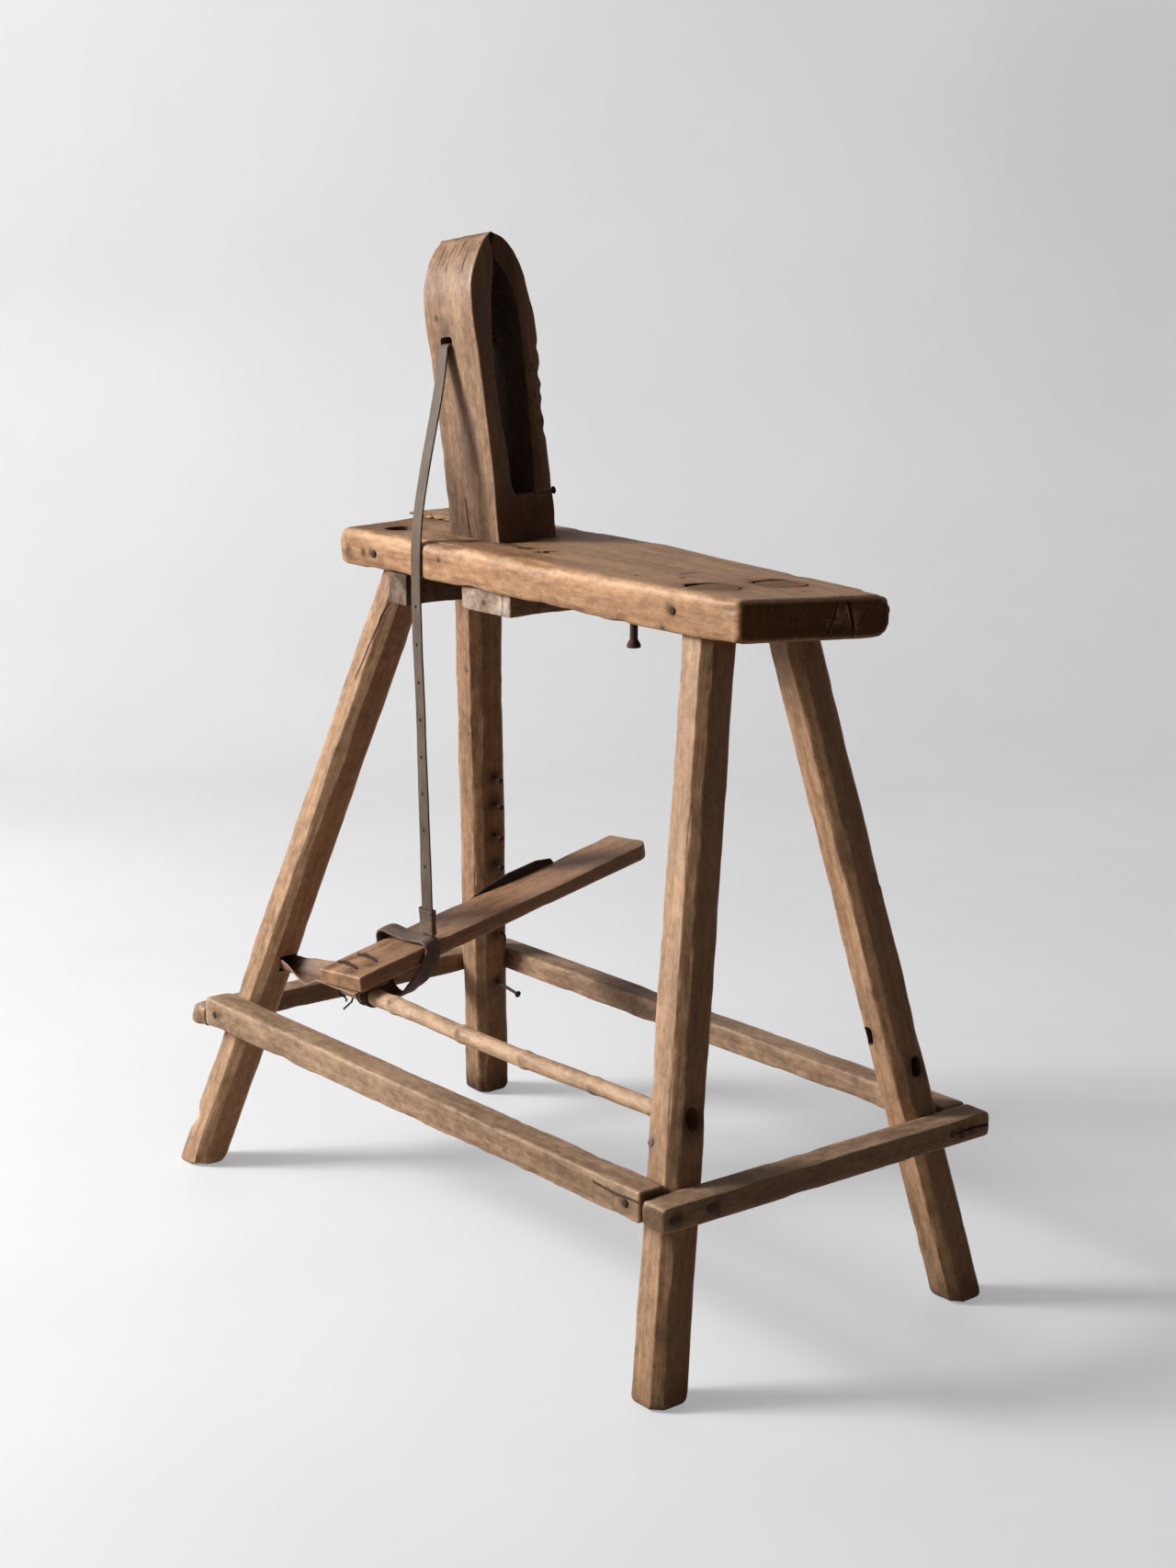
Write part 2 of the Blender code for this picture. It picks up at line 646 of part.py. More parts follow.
# Leather hinge on the back of the jaw and base, with its tacks
JAW_LEATHER_HALF = JAW_WIDE / 2 - JAW_LEATHER_INSET
JAW_LEATHER = slab(
    "jaw_hinge_leather",
    (-JAW_LEATHER_HALF, JAW_LEATHER_HALF),
    (JAW_BACK_W + GAP, JAW_BACK_W + GAP + HINGE_LEATHER_THICK),
    (JAW_LEATHER_LOW_H, JAW_LEATHER_HIGH_H),
    LEATHER,
    CLAMP,
)
SKIN_W = JAW_BACK_W + GAP + HINGE_LEATHER_THICK
for number, u in ((1, -JAW_LEATHER_HALF + 0.012), (2, JAW_LEATHER_HALF - 0.016)):
    nail(f"jaw_hinge_tack_high_{number}", clamp_point(u, SKIN_W, JAW_LEATHER_HIGH_H - 0.016), BACK, 0.014,
         (MOVING_JAW, JAW_LEATHER), JAW, TACK_R, TACK_HEAD_R)
    nail(f"jaw_hinge_tack_low_{number}", clamp_point(u, SKIN_W, JAW_LEATHER_LOW_H + 0.014), BACK, 0.014,
         (FIXED_JAW, JAW_LEATHER), None, TACK_R, TACK_HEAD_R)

# Treadle board in its own frame: a across, c along from the pivot end, b up from its top face
BOARD_ALONG = (Vector(BOARD_FAR) - Vector(BOARD_NEAR)).normalized()
BOARD_LENGTH = (Vector(BOARD_FAR) - Vector(BOARD_NEAR)).length
BOARD_ACROSS = BOARD_ALONG.cross(Vector((0.0, 0.0, 1.0))).normalized()
BOARD_ACROSS.rotate(Matrix.Rotation(-math.radians(BOARD_ROLL_DEG), 3, BOARD_ALONG))
BOARD_UP = BOARD_ACROSS.cross(BOARD_ALONG)
BOARD = Matrix((
    (BOARD_ACROSS.x, BOARD_ALONG.x, BOARD_UP.x, BOARD_NEAR[0]),
    (BOARD_ACROSS.y, BOARD_ALONG.y, BOARD_UP.y, BOARD_NEAR[1]),
    (BOARD_ACROSS.z, BOARD_ALONG.z, BOARD_UP.z, BOARD_NEAR[2]),
    (0.0, 0.0, 0.0, 1.0),
))
HALF = BOARD_WIDE / 2
BOARD_PLAN = [
    (-HALF, 0.0), (HALF, 0.0), (HALF, BOARD_LENGTH - BOARD_TIP_CUT), (HALF - BOARD_TIP_CUT, BOARD_LENGTH),
    (-HALF + BOARD_TIP_CUT * 0.5, BOARD_LENGTH), (-HALF, BOARD_LENGTH - BOARD_TIP_CUT * 0.5),
]
TREADLE_BOARD = loft(
    "treadle_board",
    [[(a, c, b) for a, c in BOARD_PLAN] for b in (-BOARD_THICK, 0.0)],
    WOOD_RAIL,
    BOARD,
    TREADLE,
)
soften(TREADLE_BOARD, 0.0025)


def board_point(a, c, b):
    """A point of the board's frame in the bench frame."""
    return BOARD @ Vector((a, c, b))


def board_top(x, y, lift):
    """Height above the board's top face at a point of the bench frame."""
    drop = (x - BOARD_NEAR[0]) * BOARD_UP.x + (y - BOARD_NEAR[1]) * BOARD_UP.y
    return BOARD_NEAR[2] - drop / BOARD_UP.z + lift


# Catch plate on the board's far edge
PLATE_A = -HALF - GAP
PLATE_SIDE = [
    (0.240, -0.0140), (0.376, -0.0140), (0.383, -0.0040), (0.378, 0.0030), (0.355, 0.0078), (0.306, 0.0080),
    (0.262, 0.0030), (0.240, -0.0030),
]
CATCH_PLATE = loft(
    "catch_plate",
    [[(a, c, b) for c, b in PLATE_SIDE] for a in (PLATE_A - PLATE_THICK, PLATE_A)],
    RUST,
    BOARD,
    TREADLE,
)
for number, c in ((1, 0.262), (2, 0.356)):
    nail(f"catch_plate_nail_{number}", board_point(PLATE_A - PLATE_THICK, c, -0.0075), -BOARD_ACROSS, 0.022,
         (CATCH_PLATE, TREADLE_BOARD), TREADLE, 0.0014, 0.0034)

# Pivot rod, a bowed round stick with a thinner end in the leg's slot


def rod_share(x):
    """How far along the rod x is, from 0 under the board to 1 in the leg."""
    return (x - ROD_X0) / (ROD_X1 - ROD_X0)


def rod_y(x):
    """Y of the rod's axis at x."""
    return PIVOT_Y + ROD_SKEW_Y * (1 - rod_share(x))


def rod_z(x):
    """Height of the rod's axis at x."""
    return ROD_Z0 + (PIVOT_Z - ROD_Z0) * rod_share(x) + ROD_BOW * math.sin(math.pi * rod_share(x)) ** 2


def rod_ring(x, y, z, radius):
    """A round section of the rod."""
    turn = np.linspace(0.0, 2.0 * math.pi, 16, endpoint=False)
    return [(x, y + radius * math.cos(t), z + radius * math.sin(t)) for t in turn]


ROD_RINGS = [rod_ring(ROD_X0 - 0.002, rod_y(ROD_X0), rod_z(ROD_X0), ROD_R - 0.0025)]
for x in np.linspace(ROD_X0, ROD_SHOULDER_X, 25):
    ROD_RINGS.append(rod_ring(float(x), rod_y(x), rod_z(x), ROD_R))
for x in (ROD_SHOULDER_X + 0.002, ROD_X1):
    ROD_RINGS.append(rod_ring(x, PIVOT_Y, PIVOT_Z, ROD_TENON_R))
ROD = loft("pivot_rod", ROD_RINGS, WOOD_ROD, None, TREADLE)


def slot_ring(x, cy, cz, wide, tall):
    """An upright oval outline across X."""
    r = wide / 2
    lift = tall / 2 - r
    ring = []
    for start, side in ((0.0, 1.0), (180.0, -1.0)):
        for k in range(7):
            t = math.radians(start + 30.0 * k)
            ring.append((x, cy + r * math.cos(t), cz + side * lift + r * math.sin(t)))
    return ring


ROD_SLOT = loft(
    "rod_slot",
    [slot_ring(x, PIVOT_Y, ROD_SLOT_Z, ROD_SLOT_WIDE, ROD_SLOT_TALL) for x in (0.29, 0.39)],
)
cut(LEG_SN, ROD_SLOT)

# Leather hinge: a trough held in a slot of the near clamp end leg, flat under the board
SKIN = HINGE_LEATHER_THICK / 2
UNDER_LIFT = -(BOARD_THICK + GAP + SKIN) / BOARD_UP.z - 0.0001
TROUGH_X, TROUGH_Y = leg_centre(FOOT_CLAMP_NEAR, HEAD_CLAMP_NEAR, TROUGH_Z)
TROUGH_NEAR_Y = TROUGH_Y - TROUGH_NEAR
TROUGH_FAR_Y = TROUGH_Y + TROUGH_FAR
LEG_FACE_X = TROUGH_X + LEG_SIDE / 2
TREADLE_LEATHER_X0 = LEG_FACE_X - TREADLE_LEATHER_IN
BOARD_EDGE_X = BOARD_NEAR[0] - HALF
FLAT_X = BOARD_EDGE_X - 0.0080


def ease(x, start, end):
    """A smooth step from 0 at start to 1 at end."""
    t = min(max((x - start) / (end - start), 0.0), 1.0)
    return t * t * (3.0 - 2.0 * t)


def hinge_point(x, across):
    """A point of the leather's middle surface: the trough blends into the board's underside."""
    open_up = ease(x, LEG_FACE_X, FLAT_X)
    near = TROUGH_NEAR_Y + (TREADLE_LEATHER_Y0 - TROUGH_NEAR_Y) * open_up
    far = TROUGH_FAR_Y + (TREADLE_LEATHER_Y1 - TROUGH_FAR_Y) * open_up
    y = near + (far - near) * across
    near_rim = TROUGH_DEEP * (1.0 - ease(x, LEG_FACE_X, FLAT_X - 0.03)) * max(0.0, 1.0 - across / 0.4) ** 2
    far_rim = TROUGH_DEEP * (1.0 + 0.5 * open_up) * max(0.0, (across - 0.6) / 0.4) ** 2
    trough = TROUGH_Z + near_rim + far_rim
    flat = ease(x, FLAT_X - 0.0350, FLAT_X)
    return x, y, trough * (1.0 - flat) + board_top(x, y, UNDER_LIFT) * flat


HINGE_X = np.linspace(TREADLE_LEATHER_X0, TREADLE_LEATHER_X1, 60)
HINGE_ACROSS = np.linspace(0.0, 1.0, 9)
HINGE_MID = np.array([[hinge_point(float(x), float(s)) for s in HINGE_ACROSS] for x in HINGE_X])
HINGE_OUT = np.cross(np.gradient(HINGE_MID, axis=0), np.gradient(HINGE_MID, axis=1))
HINGE_OUT /= np.linalg.norm(HINGE_OUT, axis=2)[:, :, None]
HINGE_RINGS = []
for mid, out in zip(HINGE_MID, HINGE_OUT):
    HINGE_RINGS.append([tuple(p) for p in mid - out * SKIN] + [tuple(p) for p in (mid + out * SKIN)[::-1]])
TREADLE_LEATHER = loft("treadle_hinge_leather", HINGE_RINGS, LEATHER)
LEG_SLOT = slab(
    "hinge_slot",
    (TREADLE_LEATHER_X0 - 0.0010, LEG_FACE_X + 0.0200),
    (TROUGH_NEAR_Y - 0.0022, TROUGH_FAR_Y + 0.0022),
    (TROUGH_Z - SKIN - 0.0006, TROUGH_Z + TROUGH_DEEP + 0.0030),
)
cut(LEG_CN, LEG_SLOT)

# Tie wire that lashes the rod under the board: two bars on top, two passes under the rod, two tails


def under_rod(x, from_side, tuck):
    """Points of a wire pass round the rod's underside at x."""
    reach = ROD_R + WIRE_R + tuck
    out = []
    for deg in np.linspace(0.0, 180.0, 9):
        t = math.radians(180.0 + deg if from_side < 0 else 360.0 - deg)
        out.append((x, rod_y(x) + WIRE_HALF_Y * math.cos(t), rod_z(x) + reach * math.sin(t)))
    return out


def wire_bar(start, end, side):
    """Points of a wire bar over the board, from one hole to the next, on one side of the rod."""
    lift = WIRE_R + GAP
    step = math.copysign(0.0012, end - start)
    out = []
    for x, z in ((start, lift - 0.0012), (start + step, lift), (end - step, lift), (end, lift - 0.0012)):
        y = rod_y(x) + side * WIRE_HALF_Y
        out.append((x, y, board_top(x, y, z)))
    return [(start, out[0][1], rod_z(start) + 0.006)] + out + [(end, out[-1][1], rod_z(end) + 0.006)]


TAIL_Z = rod_z(WIRE_X0)
TAIL_Y = rod_y(WIRE_X0)
TIE = [(WIRE_X0 - 0.0120, TAIL_Y + 0.0040, TAIL_Z - 0.0205)]
TIE += [(WIRE_X0 - 0.0060, TAIL_Y + 0.0010, TAIL_Z - 0.0165)]
TIE += under_rod(WIRE_X0 - 0.0016, 1, 0.0006)[5:]
TIE += wire_bar(WIRE_X0, WIRE_X1, -1)
TIE += under_rod(WIRE_X1, -1, 0.0006)
TIE += wire_bar(WIRE_X1, WIRE_X0, 1)
TIE += under_rod(WIRE_X0 + 0.0016, 1, 0.0006)[:4]
TIE += [(WIRE_X0 + 0.0040, TAIL_Y + 0.0010, TAIL_Z - 0.0165)]
TIE += [(WIRE_X0 + 0.0020, TAIL_Y - 0.0090, TAIL_Z - 0.0240)]
TIE_WIRE = wire("rod_tie_wire", TIE, WIRE_R, RUST, TREADLE)
for x in (WIRE_X0, WIRE_X1):
    for side in (-1, 1):
        y = rod_y(x) + side * WIRE_HALF_Y
        hole = turned("tie_hole", [(WIRE_R + 0.0004, -0.040), (WIRE_R + 0.0004, 0.010)], None,
                      Matrix.Translation((x, y, board_top(x, y, 0.0))), TREADLE)
        cut(TREADLE_BOARD, hole)
        cut(TREADLE_LEATHER, hole)

# Strap: tacked to the back of the moving jaw, through both slots, over the plank's edge, down to the loop
TOP_W = STRAP_THICK / 2 + GAP
SLOT_BACK_W = jaw_back(STRAP_H)
SLOT_FRONT_W = jaw_front(STRAP_H)
STRAP_LIES = [(jaw_back(STRAP_H - low) + TOP_W + rest, STRAP_H - low) for low, rest in (
    (0.0525, 0.0002), (0.0285, 0.0005), (0.0070, 0.0011), (0.0015, 0.0014))]
STRAP_IN = [(SLOT_BACK_W + 0.0005, STRAP_H + 0.0019), (SLOT_BACK_W - 0.0035, STRAP_H + 0.0026)]
STRAP_IN += [(0.0300, STRAP_H + 0.0020), (0.0000, STRAP_H + 0.0010)]
STRAP_IN += [(SLOT_FRONT_W + 0.0046, STRAP_H + 0.0002), (SLOT_FRONT_W - 0.0012, STRAP_H - 0.0003)]
STRAP_IN += [(SLOT_FRONT_W - 0.0042, STRAP_H - 0.0035), (SLOT_FRONT_W - 0.0056, STRAP_H - 0.0085)]
UPPER = [tuple(clamp_point(STRAP_U, w, h)) for w, h in STRAP_LIES + STRAP_IN]
EDGE_X = -0.1760
EDGE_Y = PLANK_NEAR_Y - GAP - STRAP_THICK / 2 - 0.0004
OVER = [(EDGE_X, EDGE_Y - 0.0002, PLANK_TOP_Z - 0.0057)]
OVER += [(EDGE_X - 0.0006, EDGE_Y - 0.0004, PLANK_TOP_Z - 0.0187)]
OVER += [(EDGE_X - 0.0014, EDGE_Y, PLANK_TOP_Z - 0.0357)]
EDGE_LOW = Vector(OVER[-1])
SLIT_POINT = board_point(LOOP_SLIT_A, LOOP_SLIT_C, LOOP_LIFT)
STRAP_UP = (EDGE_LOW - SLIT_POINT).normalized()
STRAP_SIDE = (BOARD_ACROSS - STRAP_UP * BOARD_ACROSS.dot(STRAP_UP)).normalized()
DOWN = [tuple(EDGE_LOW.lerp(SLIT_POINT, t)) for t in (0.35, 0.75)]
DOWN += [tuple(SLIT_POINT + STRAP_UP * rise) for rise in (0.0450, 0.0300, 0.0160, 0.0020)]
DOWN += [tuple(board_point(LOOP_SLIT_A, LOOP_SLIT_C + c, LOOP_LIFT + b)) for c, b in (
    (-0.0004, -0.0014), (-0.0022, -0.0032), (-0.0048, -0.0036), (-0.0110, -0.0036))]
STRAP_LINE = smooth_line(UPPER + OVER + DOWN, 280)
STRAP_SHARE = np.clip((0.93 - STRAP_LINE[:, 2]) / 0.18, 0.0, 1.0)[:, None]
STRAP_LOW = np.clip((0.52 - STRAP_LINE[:, 2]) / 0.16, 0.0, 1.0)[:, None]
STRAP_ACROSS = np.array(SIDE) * (1 - STRAP_SHARE) + np.array((1.0, 0.0, 0.0)) * STRAP_SHARE
STRAP_ACROSS = STRAP_ACROSS * (1 - STRAP_LOW) + np.array(STRAP_SIDE) * STRAP_LOW
STRAP_FOOT = np.clip((SLIT_POINT.z + 0.003 - STRAP_LINE[:, 2]) / 0.005, 0.0, 1.0)[:, None]
STRAP_ACROSS = STRAP_ACROSS * (1 - STRAP_FOOT) + np.array(BOARD_ACROSS) * STRAP_FOOT
STRAP = band("strap", STRAP_LINE, STRAP_ACROSS, STRAP_WIDE, STRAP_THICK, LEATHER)
LIES_W, LIES_H = np.array(STRAP_LIES).T
for number, low in ((1, 0.0225), (2, 0.0425)):
    w = float(np.interp(STRAP_H - low, LIES_H, LIES_W)) + STRAP_THICK / 2
    nail(f"strap_tack_{number}", clamp_point(STRAP_U, w, STRAP_H - low), BACK, 0.014, (STRAP, MOVING_JAW),
         JAW, TACK_R, TACK_HEAD_R, 0.0003)

# Leather loop round the board, slit on top for the strap
LOOP_OUT = HALF + LOOP_THICK / 2 + 0.0036
LOOP_UNDER = -BOARD_THICK - LOOP_THICK / 2 - 0.0012
LOOP_SIDE = [
    (LOOP_OUT - 0.0069, LOOP_LIFT, 0.0), (0.0200, LOOP_LIFT, 0.0), (0.0060, LOOP_LIFT + 0.0006, 0.0),
    (-0.0060, LOOP_LIFT + 0.0020, 0.0), (-0.0180, LOOP_LIFT + 0.0045, 0.0),
    (-0.0280, LOOP_LIFT + 0.0066, 0.0), (-0.0350, LOOP_LIFT + 0.0052, 0.0),
    (-LOOP_OUT + 0.0002, LOOP_LIFT + 0.0002, 0.0), (-LOOP_OUT - 0.0004, -0.0040, 0.02),
    (-LOOP_OUT + 0.0002, -0.0130, 0.1), (-LOOP_OUT + 0.0040, LOOP_UNDER - 0.0020, 0.3),
    (-0.0250, LOOP_UNDER - 0.30 * LOOP_SAG, 0.5), (-0.0120, LOOP_UNDER - 0.55 * LOOP_SAG, 0.75),
    (0.0030, LOOP_UNDER - 0.85 * LOOP_SAG, 0.95), (0.0160, LOOP_UNDER - LOOP_SAG, 1.0),
    (0.0270, LOOP_UNDER - 0.90 * LOOP_SAG, 0.95), (LOOP_OUT - 0.0040, LOOP_UNDER - 0.55 * LOOP_SAG, 0.7),
    (LOOP_OUT - 0.0005, LOOP_UNDER - 0.10 * LOOP_SAG, 0.3), (LOOP_OUT, -0.0120, 0.08),
    (LOOP_OUT - 0.0002, -0.0040, 0.0), (LOOP_OUT - 0.0018, 0.0032, 0.0),
]
LOOP_LINE = smooth_line([(a, b, -LOOP_TRAIL * share) for a, b, share in LOOP_SIDE], 64, True)
LOOP_RUN = LOOP_C + LOOP_SKEW * np.minimum(LOOP_LINE[:, 0] - LOOP_SLIT_A, 0.0) + LOOP_LINE[:, 2]
LOOP_PATH = np.column_stack([LOOP_LINE[:, 0], LOOP_RUN, LOOP_LINE[:, 1]])
LOOP_ACROSS = np.tile((0.0, 1.0, 0.0), (len(LOOP_LINE), 1))
LOOP = band("treadle_loop", LOOP_PATH, LOOP_ACROSS, LOOP_WIDE, LOOP_THICK, LEATHER, BOARD, TREADLE, True)
SLIT = slab(
    "loop_slit",
    (LOOP_SLIT_A - STRAP_WIDE / 2 - 0.0006, LOOP_SLIT_A + STRAP_WIDE / 2 + 0.0006),
    (LOOP_SLIT_C - 0.0024, LOOP_SLIT_C + 0.0020),
    (LOOP_LIFT - LOOP_THICK, LOOP_LIFT + LOOP_THICK),
    None,
    BOARD,
    TREADLE,
)
cut(LOOP, SLIT)

# Leather sleeve round the strap's lower end, in a frame whose Z runs up the strap
STRAP_OUT = STRAP_UP.cross(STRAP_SIDE)
SLEEVE_TURN = Matrix((STRAP_SIDE, STRAP_OUT, STRAP_UP)).transposed()
SLEEVE_FRAME = Matrix.Translation(SLIT_POINT) @ SLEEVE_TURN.to_4x4()
ROOM_WIDE = STRAP_WIDE / 2 + GAP
ROOM_THICK = STRAP_THICK / 2 + GAP
SLEEVE = slab(
    "strap_sleeve",
    (-ROOM_WIDE - SLEEVE_WALL, ROOM_WIDE + SLEEVE_WALL),
    (-ROOM_THICK - SLEEVE_WALL, ROOM_THICK + SLEEVE_WALL),
    (SLEEVE_LOW, SLEEVE_LOW + SLEEVE_LONG),
    LEATHER,
    SLEEVE_FRAME,
    TREADLE,
)
soften(SLEEVE, 0.0010)
SLEEVE_ROOM = slab(
    "sleeve_room",
    (-ROOM_WIDE, ROOM_WIDE),
    (-ROOM_THICK, ROOM_THICK),
    (SLEEVE_LOW - 0.0050, SLEEVE_LOW + SLEEVE_LONG + 0.0050),
    None,
    SLEEVE_FRAME,
    TREADLE,
)
cut(SLEEVE, SLEEVE_ROOM)

# Ratchet nails and stray nails on the far clamp end leg


def face_point(foot, head, z, side, offset=0.0):
    """A point on a leg's face at a height, with the way out of that face. Offset slides it along the face."""
    cx, cy = leg_centre(foot, head, z)
    lean_x = (head[0] - foot[0]) / LEG_TOP_Z
    lean_y = (head[1] - foot[1]) / LEG_TOP_Z
    h = LEG_SIDE / 2
    if side == "x":
        return Vector((cx + h, cy + offset, z)), Vector((1.0, 0.0, -lean_x)).normalized()
    if side == "-y":
        return Vector((cx + offset, cy - h, z)), Vector((0.0, -1.0, lean_y)).normalized()
    if side == "-x":
        return Vector((cx - h, cy + offset, z)), Vector((-1.0, 0.0, lean_x)).normalized()
    return Vector((cx + offset, cy + h, z)), Vector((0.0, 1.0, -lean_y)).normalized()


for number, offset in ((1, -0.0040), (2, 0.0080)):
    point, out = face_point(FOOT_CLAMP_NEAR, HEAD_CLAMP_NEAR, TROUGH_Z + 0.0075, "y", offset)
    nail(f"treadle_hinge_nail_{number}", point, out, 0.036, (TREADLE_LEATHER, LEG_CN), None, 0.0014, 0.0036)
for number, z in ((1, 0.441), (2, 0.406), (3, 0.365), (4, 0.326)):
    point, out = face_point(FOOT_CLAMP_FAR, HEAD_CLAMP_FAR, z, "x")
    nail(f"ratchet_nail_{number}", point, Vector((1.0, 0.0, -0.12)), 0.026, (LEG_CF,), None, 0.0017, 0.0034,
         RATCHET_OUT)
point, out = face_point(FOOT_CLAMP_FAR, HEAD_CLAMP_FAR, 0.163, "x")
nail("long_nail", point, Vector((1.0, 0.0, -0.14)), 0.024, (LEG_CF,), None, 0.0019, 0.0042, LONG_NAIL_OUT)
point, out = face_point(FOOT_CLAMP_FAR, HEAD_CLAMP_FAR, 0.229, "x", 0.0090)
BENT = [point + Vector((dx, 0.0, dz)) for dx, dz in (
    (-0.0180, 0.0), (-0.0010, 0.0), (0.0045, -0.0002), (0.0066, -0.0016), (0.0073, -0.0042),
    (0.0074, -0.0110))]
wire("bent_nail", BENT, 0.0015, RUST)
BENT_HOLE = turned("bent_nail_hole", [(0.0018, -0.0185), (0.0018, 0.0040)], None, aim(point, (1.0, 0.0, 0.0)))
cut(LEG_CF, BENT_HOLE)


def peg(name, foot, head, z, side, offset, into):
    """A round wooden peg set flush in a leg's face."""
    point, out = face_point(foot, head, z, side, offset)
    matrix = aim(point, out)
    profile = [(PEG_R * 0.8, -0.0150), (PEG_R, -0.0130), (PEG_R, 0.0002), (PEG_R * 0.85, 0.0008)]
    obj = turned(name, profile, WOOD_GREY, matrix)
    cut(into, turned(name + "_hole", [(PEG_R + GAP, -0.0153), (PEG_R + GAP, 0.0050)], None, matrix))
    return obj


peg("peg_seat_near", FOOT_SEAT_NEAR, HEAD_SEAT_NEAR, 0.237, "-y", -0.0100, LEG_SN)
peg("peg_clamp_far_1", FOOT_CLAMP_FAR, HEAD_CLAMP_FAR, 0.578, "-y", 0.0050, LEG_CF)
peg("peg_clamp_far_2", FOOT_CLAMP_FAR, HEAD_CLAMP_FAR, 0.499, "-y", 0.0050, LEG_CF)

# Old empty slots and a notch in the far seat end leg
for name, z, side, offset in (("old_slot_side", 0.281, "-y", -0.0100), ("old_slot_end", 0.252, "x", 0.0020)):
    point, out = face_point(FOOT_SEAT_FAR, HEAD_SEAT_FAR, z, side, offset)
    turn = Matrix.Rotation(math.radians(-90.0 if side == "-y" else 0.0), 4, "Z")
    slot = loft(name, [slot_ring(x, 0.0, 0.0, 0.0110, 0.0200) for x in (-0.0140, 0.0080)], None,
                Matrix.Translation(point) @ turn)
    cut(LEG_SF, slot)
point, out = face_point(FOOT_SEAT_FAR, HEAD_SEAT_FAR, 0.444, "x", LEG_SIDE / 2)
NOTCH = slab(
    "leg_notch", (-0.0070, 0.0120), (-0.0070, 0.0120), (-0.0080, 0.0080), None, Matrix.Translation(point))
cut(LEG_SF, NOTCH)

# Rail nails
LEN = 0.050
for name, foot, head, z in (
    ("rail_near_nail_1", FOOT_CLAMP_NEAR, HEAD_CLAMP_NEAR, 0.193),
    ("rail_near_nail_2", FOOT_SEAT_NEAR, HEAD_SEAT_NEAR, 0.193),
):
    cx, cy = leg_centre(foot, head, z)
    target = LEG_CN if foot == FOOT_CLAMP_NEAR else LEG_SN
    nail(name, (cx, RAIL_NEAR_OUT_Y, z), (0.0, -1.0, 0.0), LEN, (RAIL_NEAR, target))
for name, foot, head, target in (
    ("rail_far_nail_1", FOOT_CLAMP_FAR, HEAD_CLAMP_FAR, LEG_CF),
    ("rail_far_nail_2", FOOT_SEAT_FAR, HEAD_SEAT_FAR, LEG_SF),
):
    cx, cy = leg_centre(foot, head, 0.190)
    nail(name, (cx, RAIL_FAR_OUT_Y, 0.190), (0.0, 1.0, 0.0), LEN, (RAIL_FAR, target))
for name, foot, head, target in (
    ("rail_clamp_nail_1", FOOT_CLAMP_NEAR, HEAD_CLAMP_NEAR, LEG_CN),
    ("rail_clamp_nail_2", FOOT_CLAMP_FAR, HEAD_CLAMP_FAR, LEG_CF),
):
    cx, cy = leg_centre(foot, head, 0.183)
    nail(name, (RAIL_CLAMP_OUT_X, cy, 0.183), (-1.0, 0.0, 0.0), LEN - 0.004, (RAIL_CLAMP, target))
for name, y, z, target in (
    ("rail_seat_nail_1", -0.2030, 0.189, RAIL_NEAR),
    ("rail_seat_nail_2", -0.1570, 0.190, LEG_SN),
    ("rail_seat_nail_3", 0.1660, 0.190, LEG_SF),
    ("rail_seat_nail_4", 0.1800, 0.186, LEG_SF),
):
    nail(name, (RAIL_SEAT_OUT_X, y, z), (1.0, 0.0, 0.0), LEN, (RAIL_SEAT, target))

# Nails through the plank's near edge, and the patch's and battens' nails
for name, x, z, targets in (
    ("plank_nail_1", -0.2600, PLANK_TOP_Z - 0.0227, (PLANK, LEG_CN)),
    ("plank_nail_2", 0.2460, PLANK_TOP_Z - 0.0217, (PLANK, LEG_SN)),
):
    nail(name, (x, PLANK_NEAR_Y, z), (0.0, -1.0, 0.0), 0.040, targets)
nail("patch_nail", (-0.3000, 0.0760, PLANK_TOP_Z + GAP + PATCH_THICK), (0.0, 0.0, 1.0), 0.024, (PATCH, PLANK))
for name, x, y, tall, batten in (
    ("batten_nail_1", BATTEN_END_X, 0.0150, BATTEN_END_TALL, BATTEN_END),
    ("batten_nail_2", BATTEN_MID_X - 0.0200, -0.0300, BATTEN_MID_TALL, BATTEN_MID),
):
    nail(name, (x, y, UNDER_Z - tall), (0.0, 0.0, -1.0), tall + 0.018, (batten, PLANK))

# Bolt hanging under the plank
BOLT_Z = plank_top(BOLT_X, BOLT_Y) - PLANK_THICK
BOLT_PROFILE = [
    (BOLT_HEAD_R * 0.9, BOLT_LOW_Z), (BOLT_HEAD_R, BOLT_LOW_Z + 0.0015),
    (BOLT_HEAD_R * 0.9, BOLT_LOW_Z + 0.0040), (BOLT_R, BOLT_LOW_Z + 0.0085),
    (BOLT_R, BOLT_Z + 0.0240), (BOLT_R * 0.6, BOLT_Z + 0.0260),
]
turned("hanging_bolt", BOLT_PROFILE, RUST, Matrix.Translation((BOLT_X, BOLT_Y, 0.0)), None, 16)
BOLT_HOLE = turned("bolt_hole", [(BOLT_R + GAP, BOLT_Z - 0.01), (BOLT_R + GAP, BOLT_Z + 0.0264)], None,
                   Matrix.Translation((BOLT_X, BOLT_Y, 0.0)), None, 16)
cut(PLANK, BOLT_HOLE)

bpy.context.view_layer.update()
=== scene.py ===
# %% [markdown]
# # Saddle maker bench
# This lesson dresses a packed bench so that it looks like an old, hand-made stitching horse. Each wooden
# or leather piece is then built again as a worn surface that rides on the same body, and the small iron
# pieces keep their solids and get a finish.

# %% Load the frame
import math

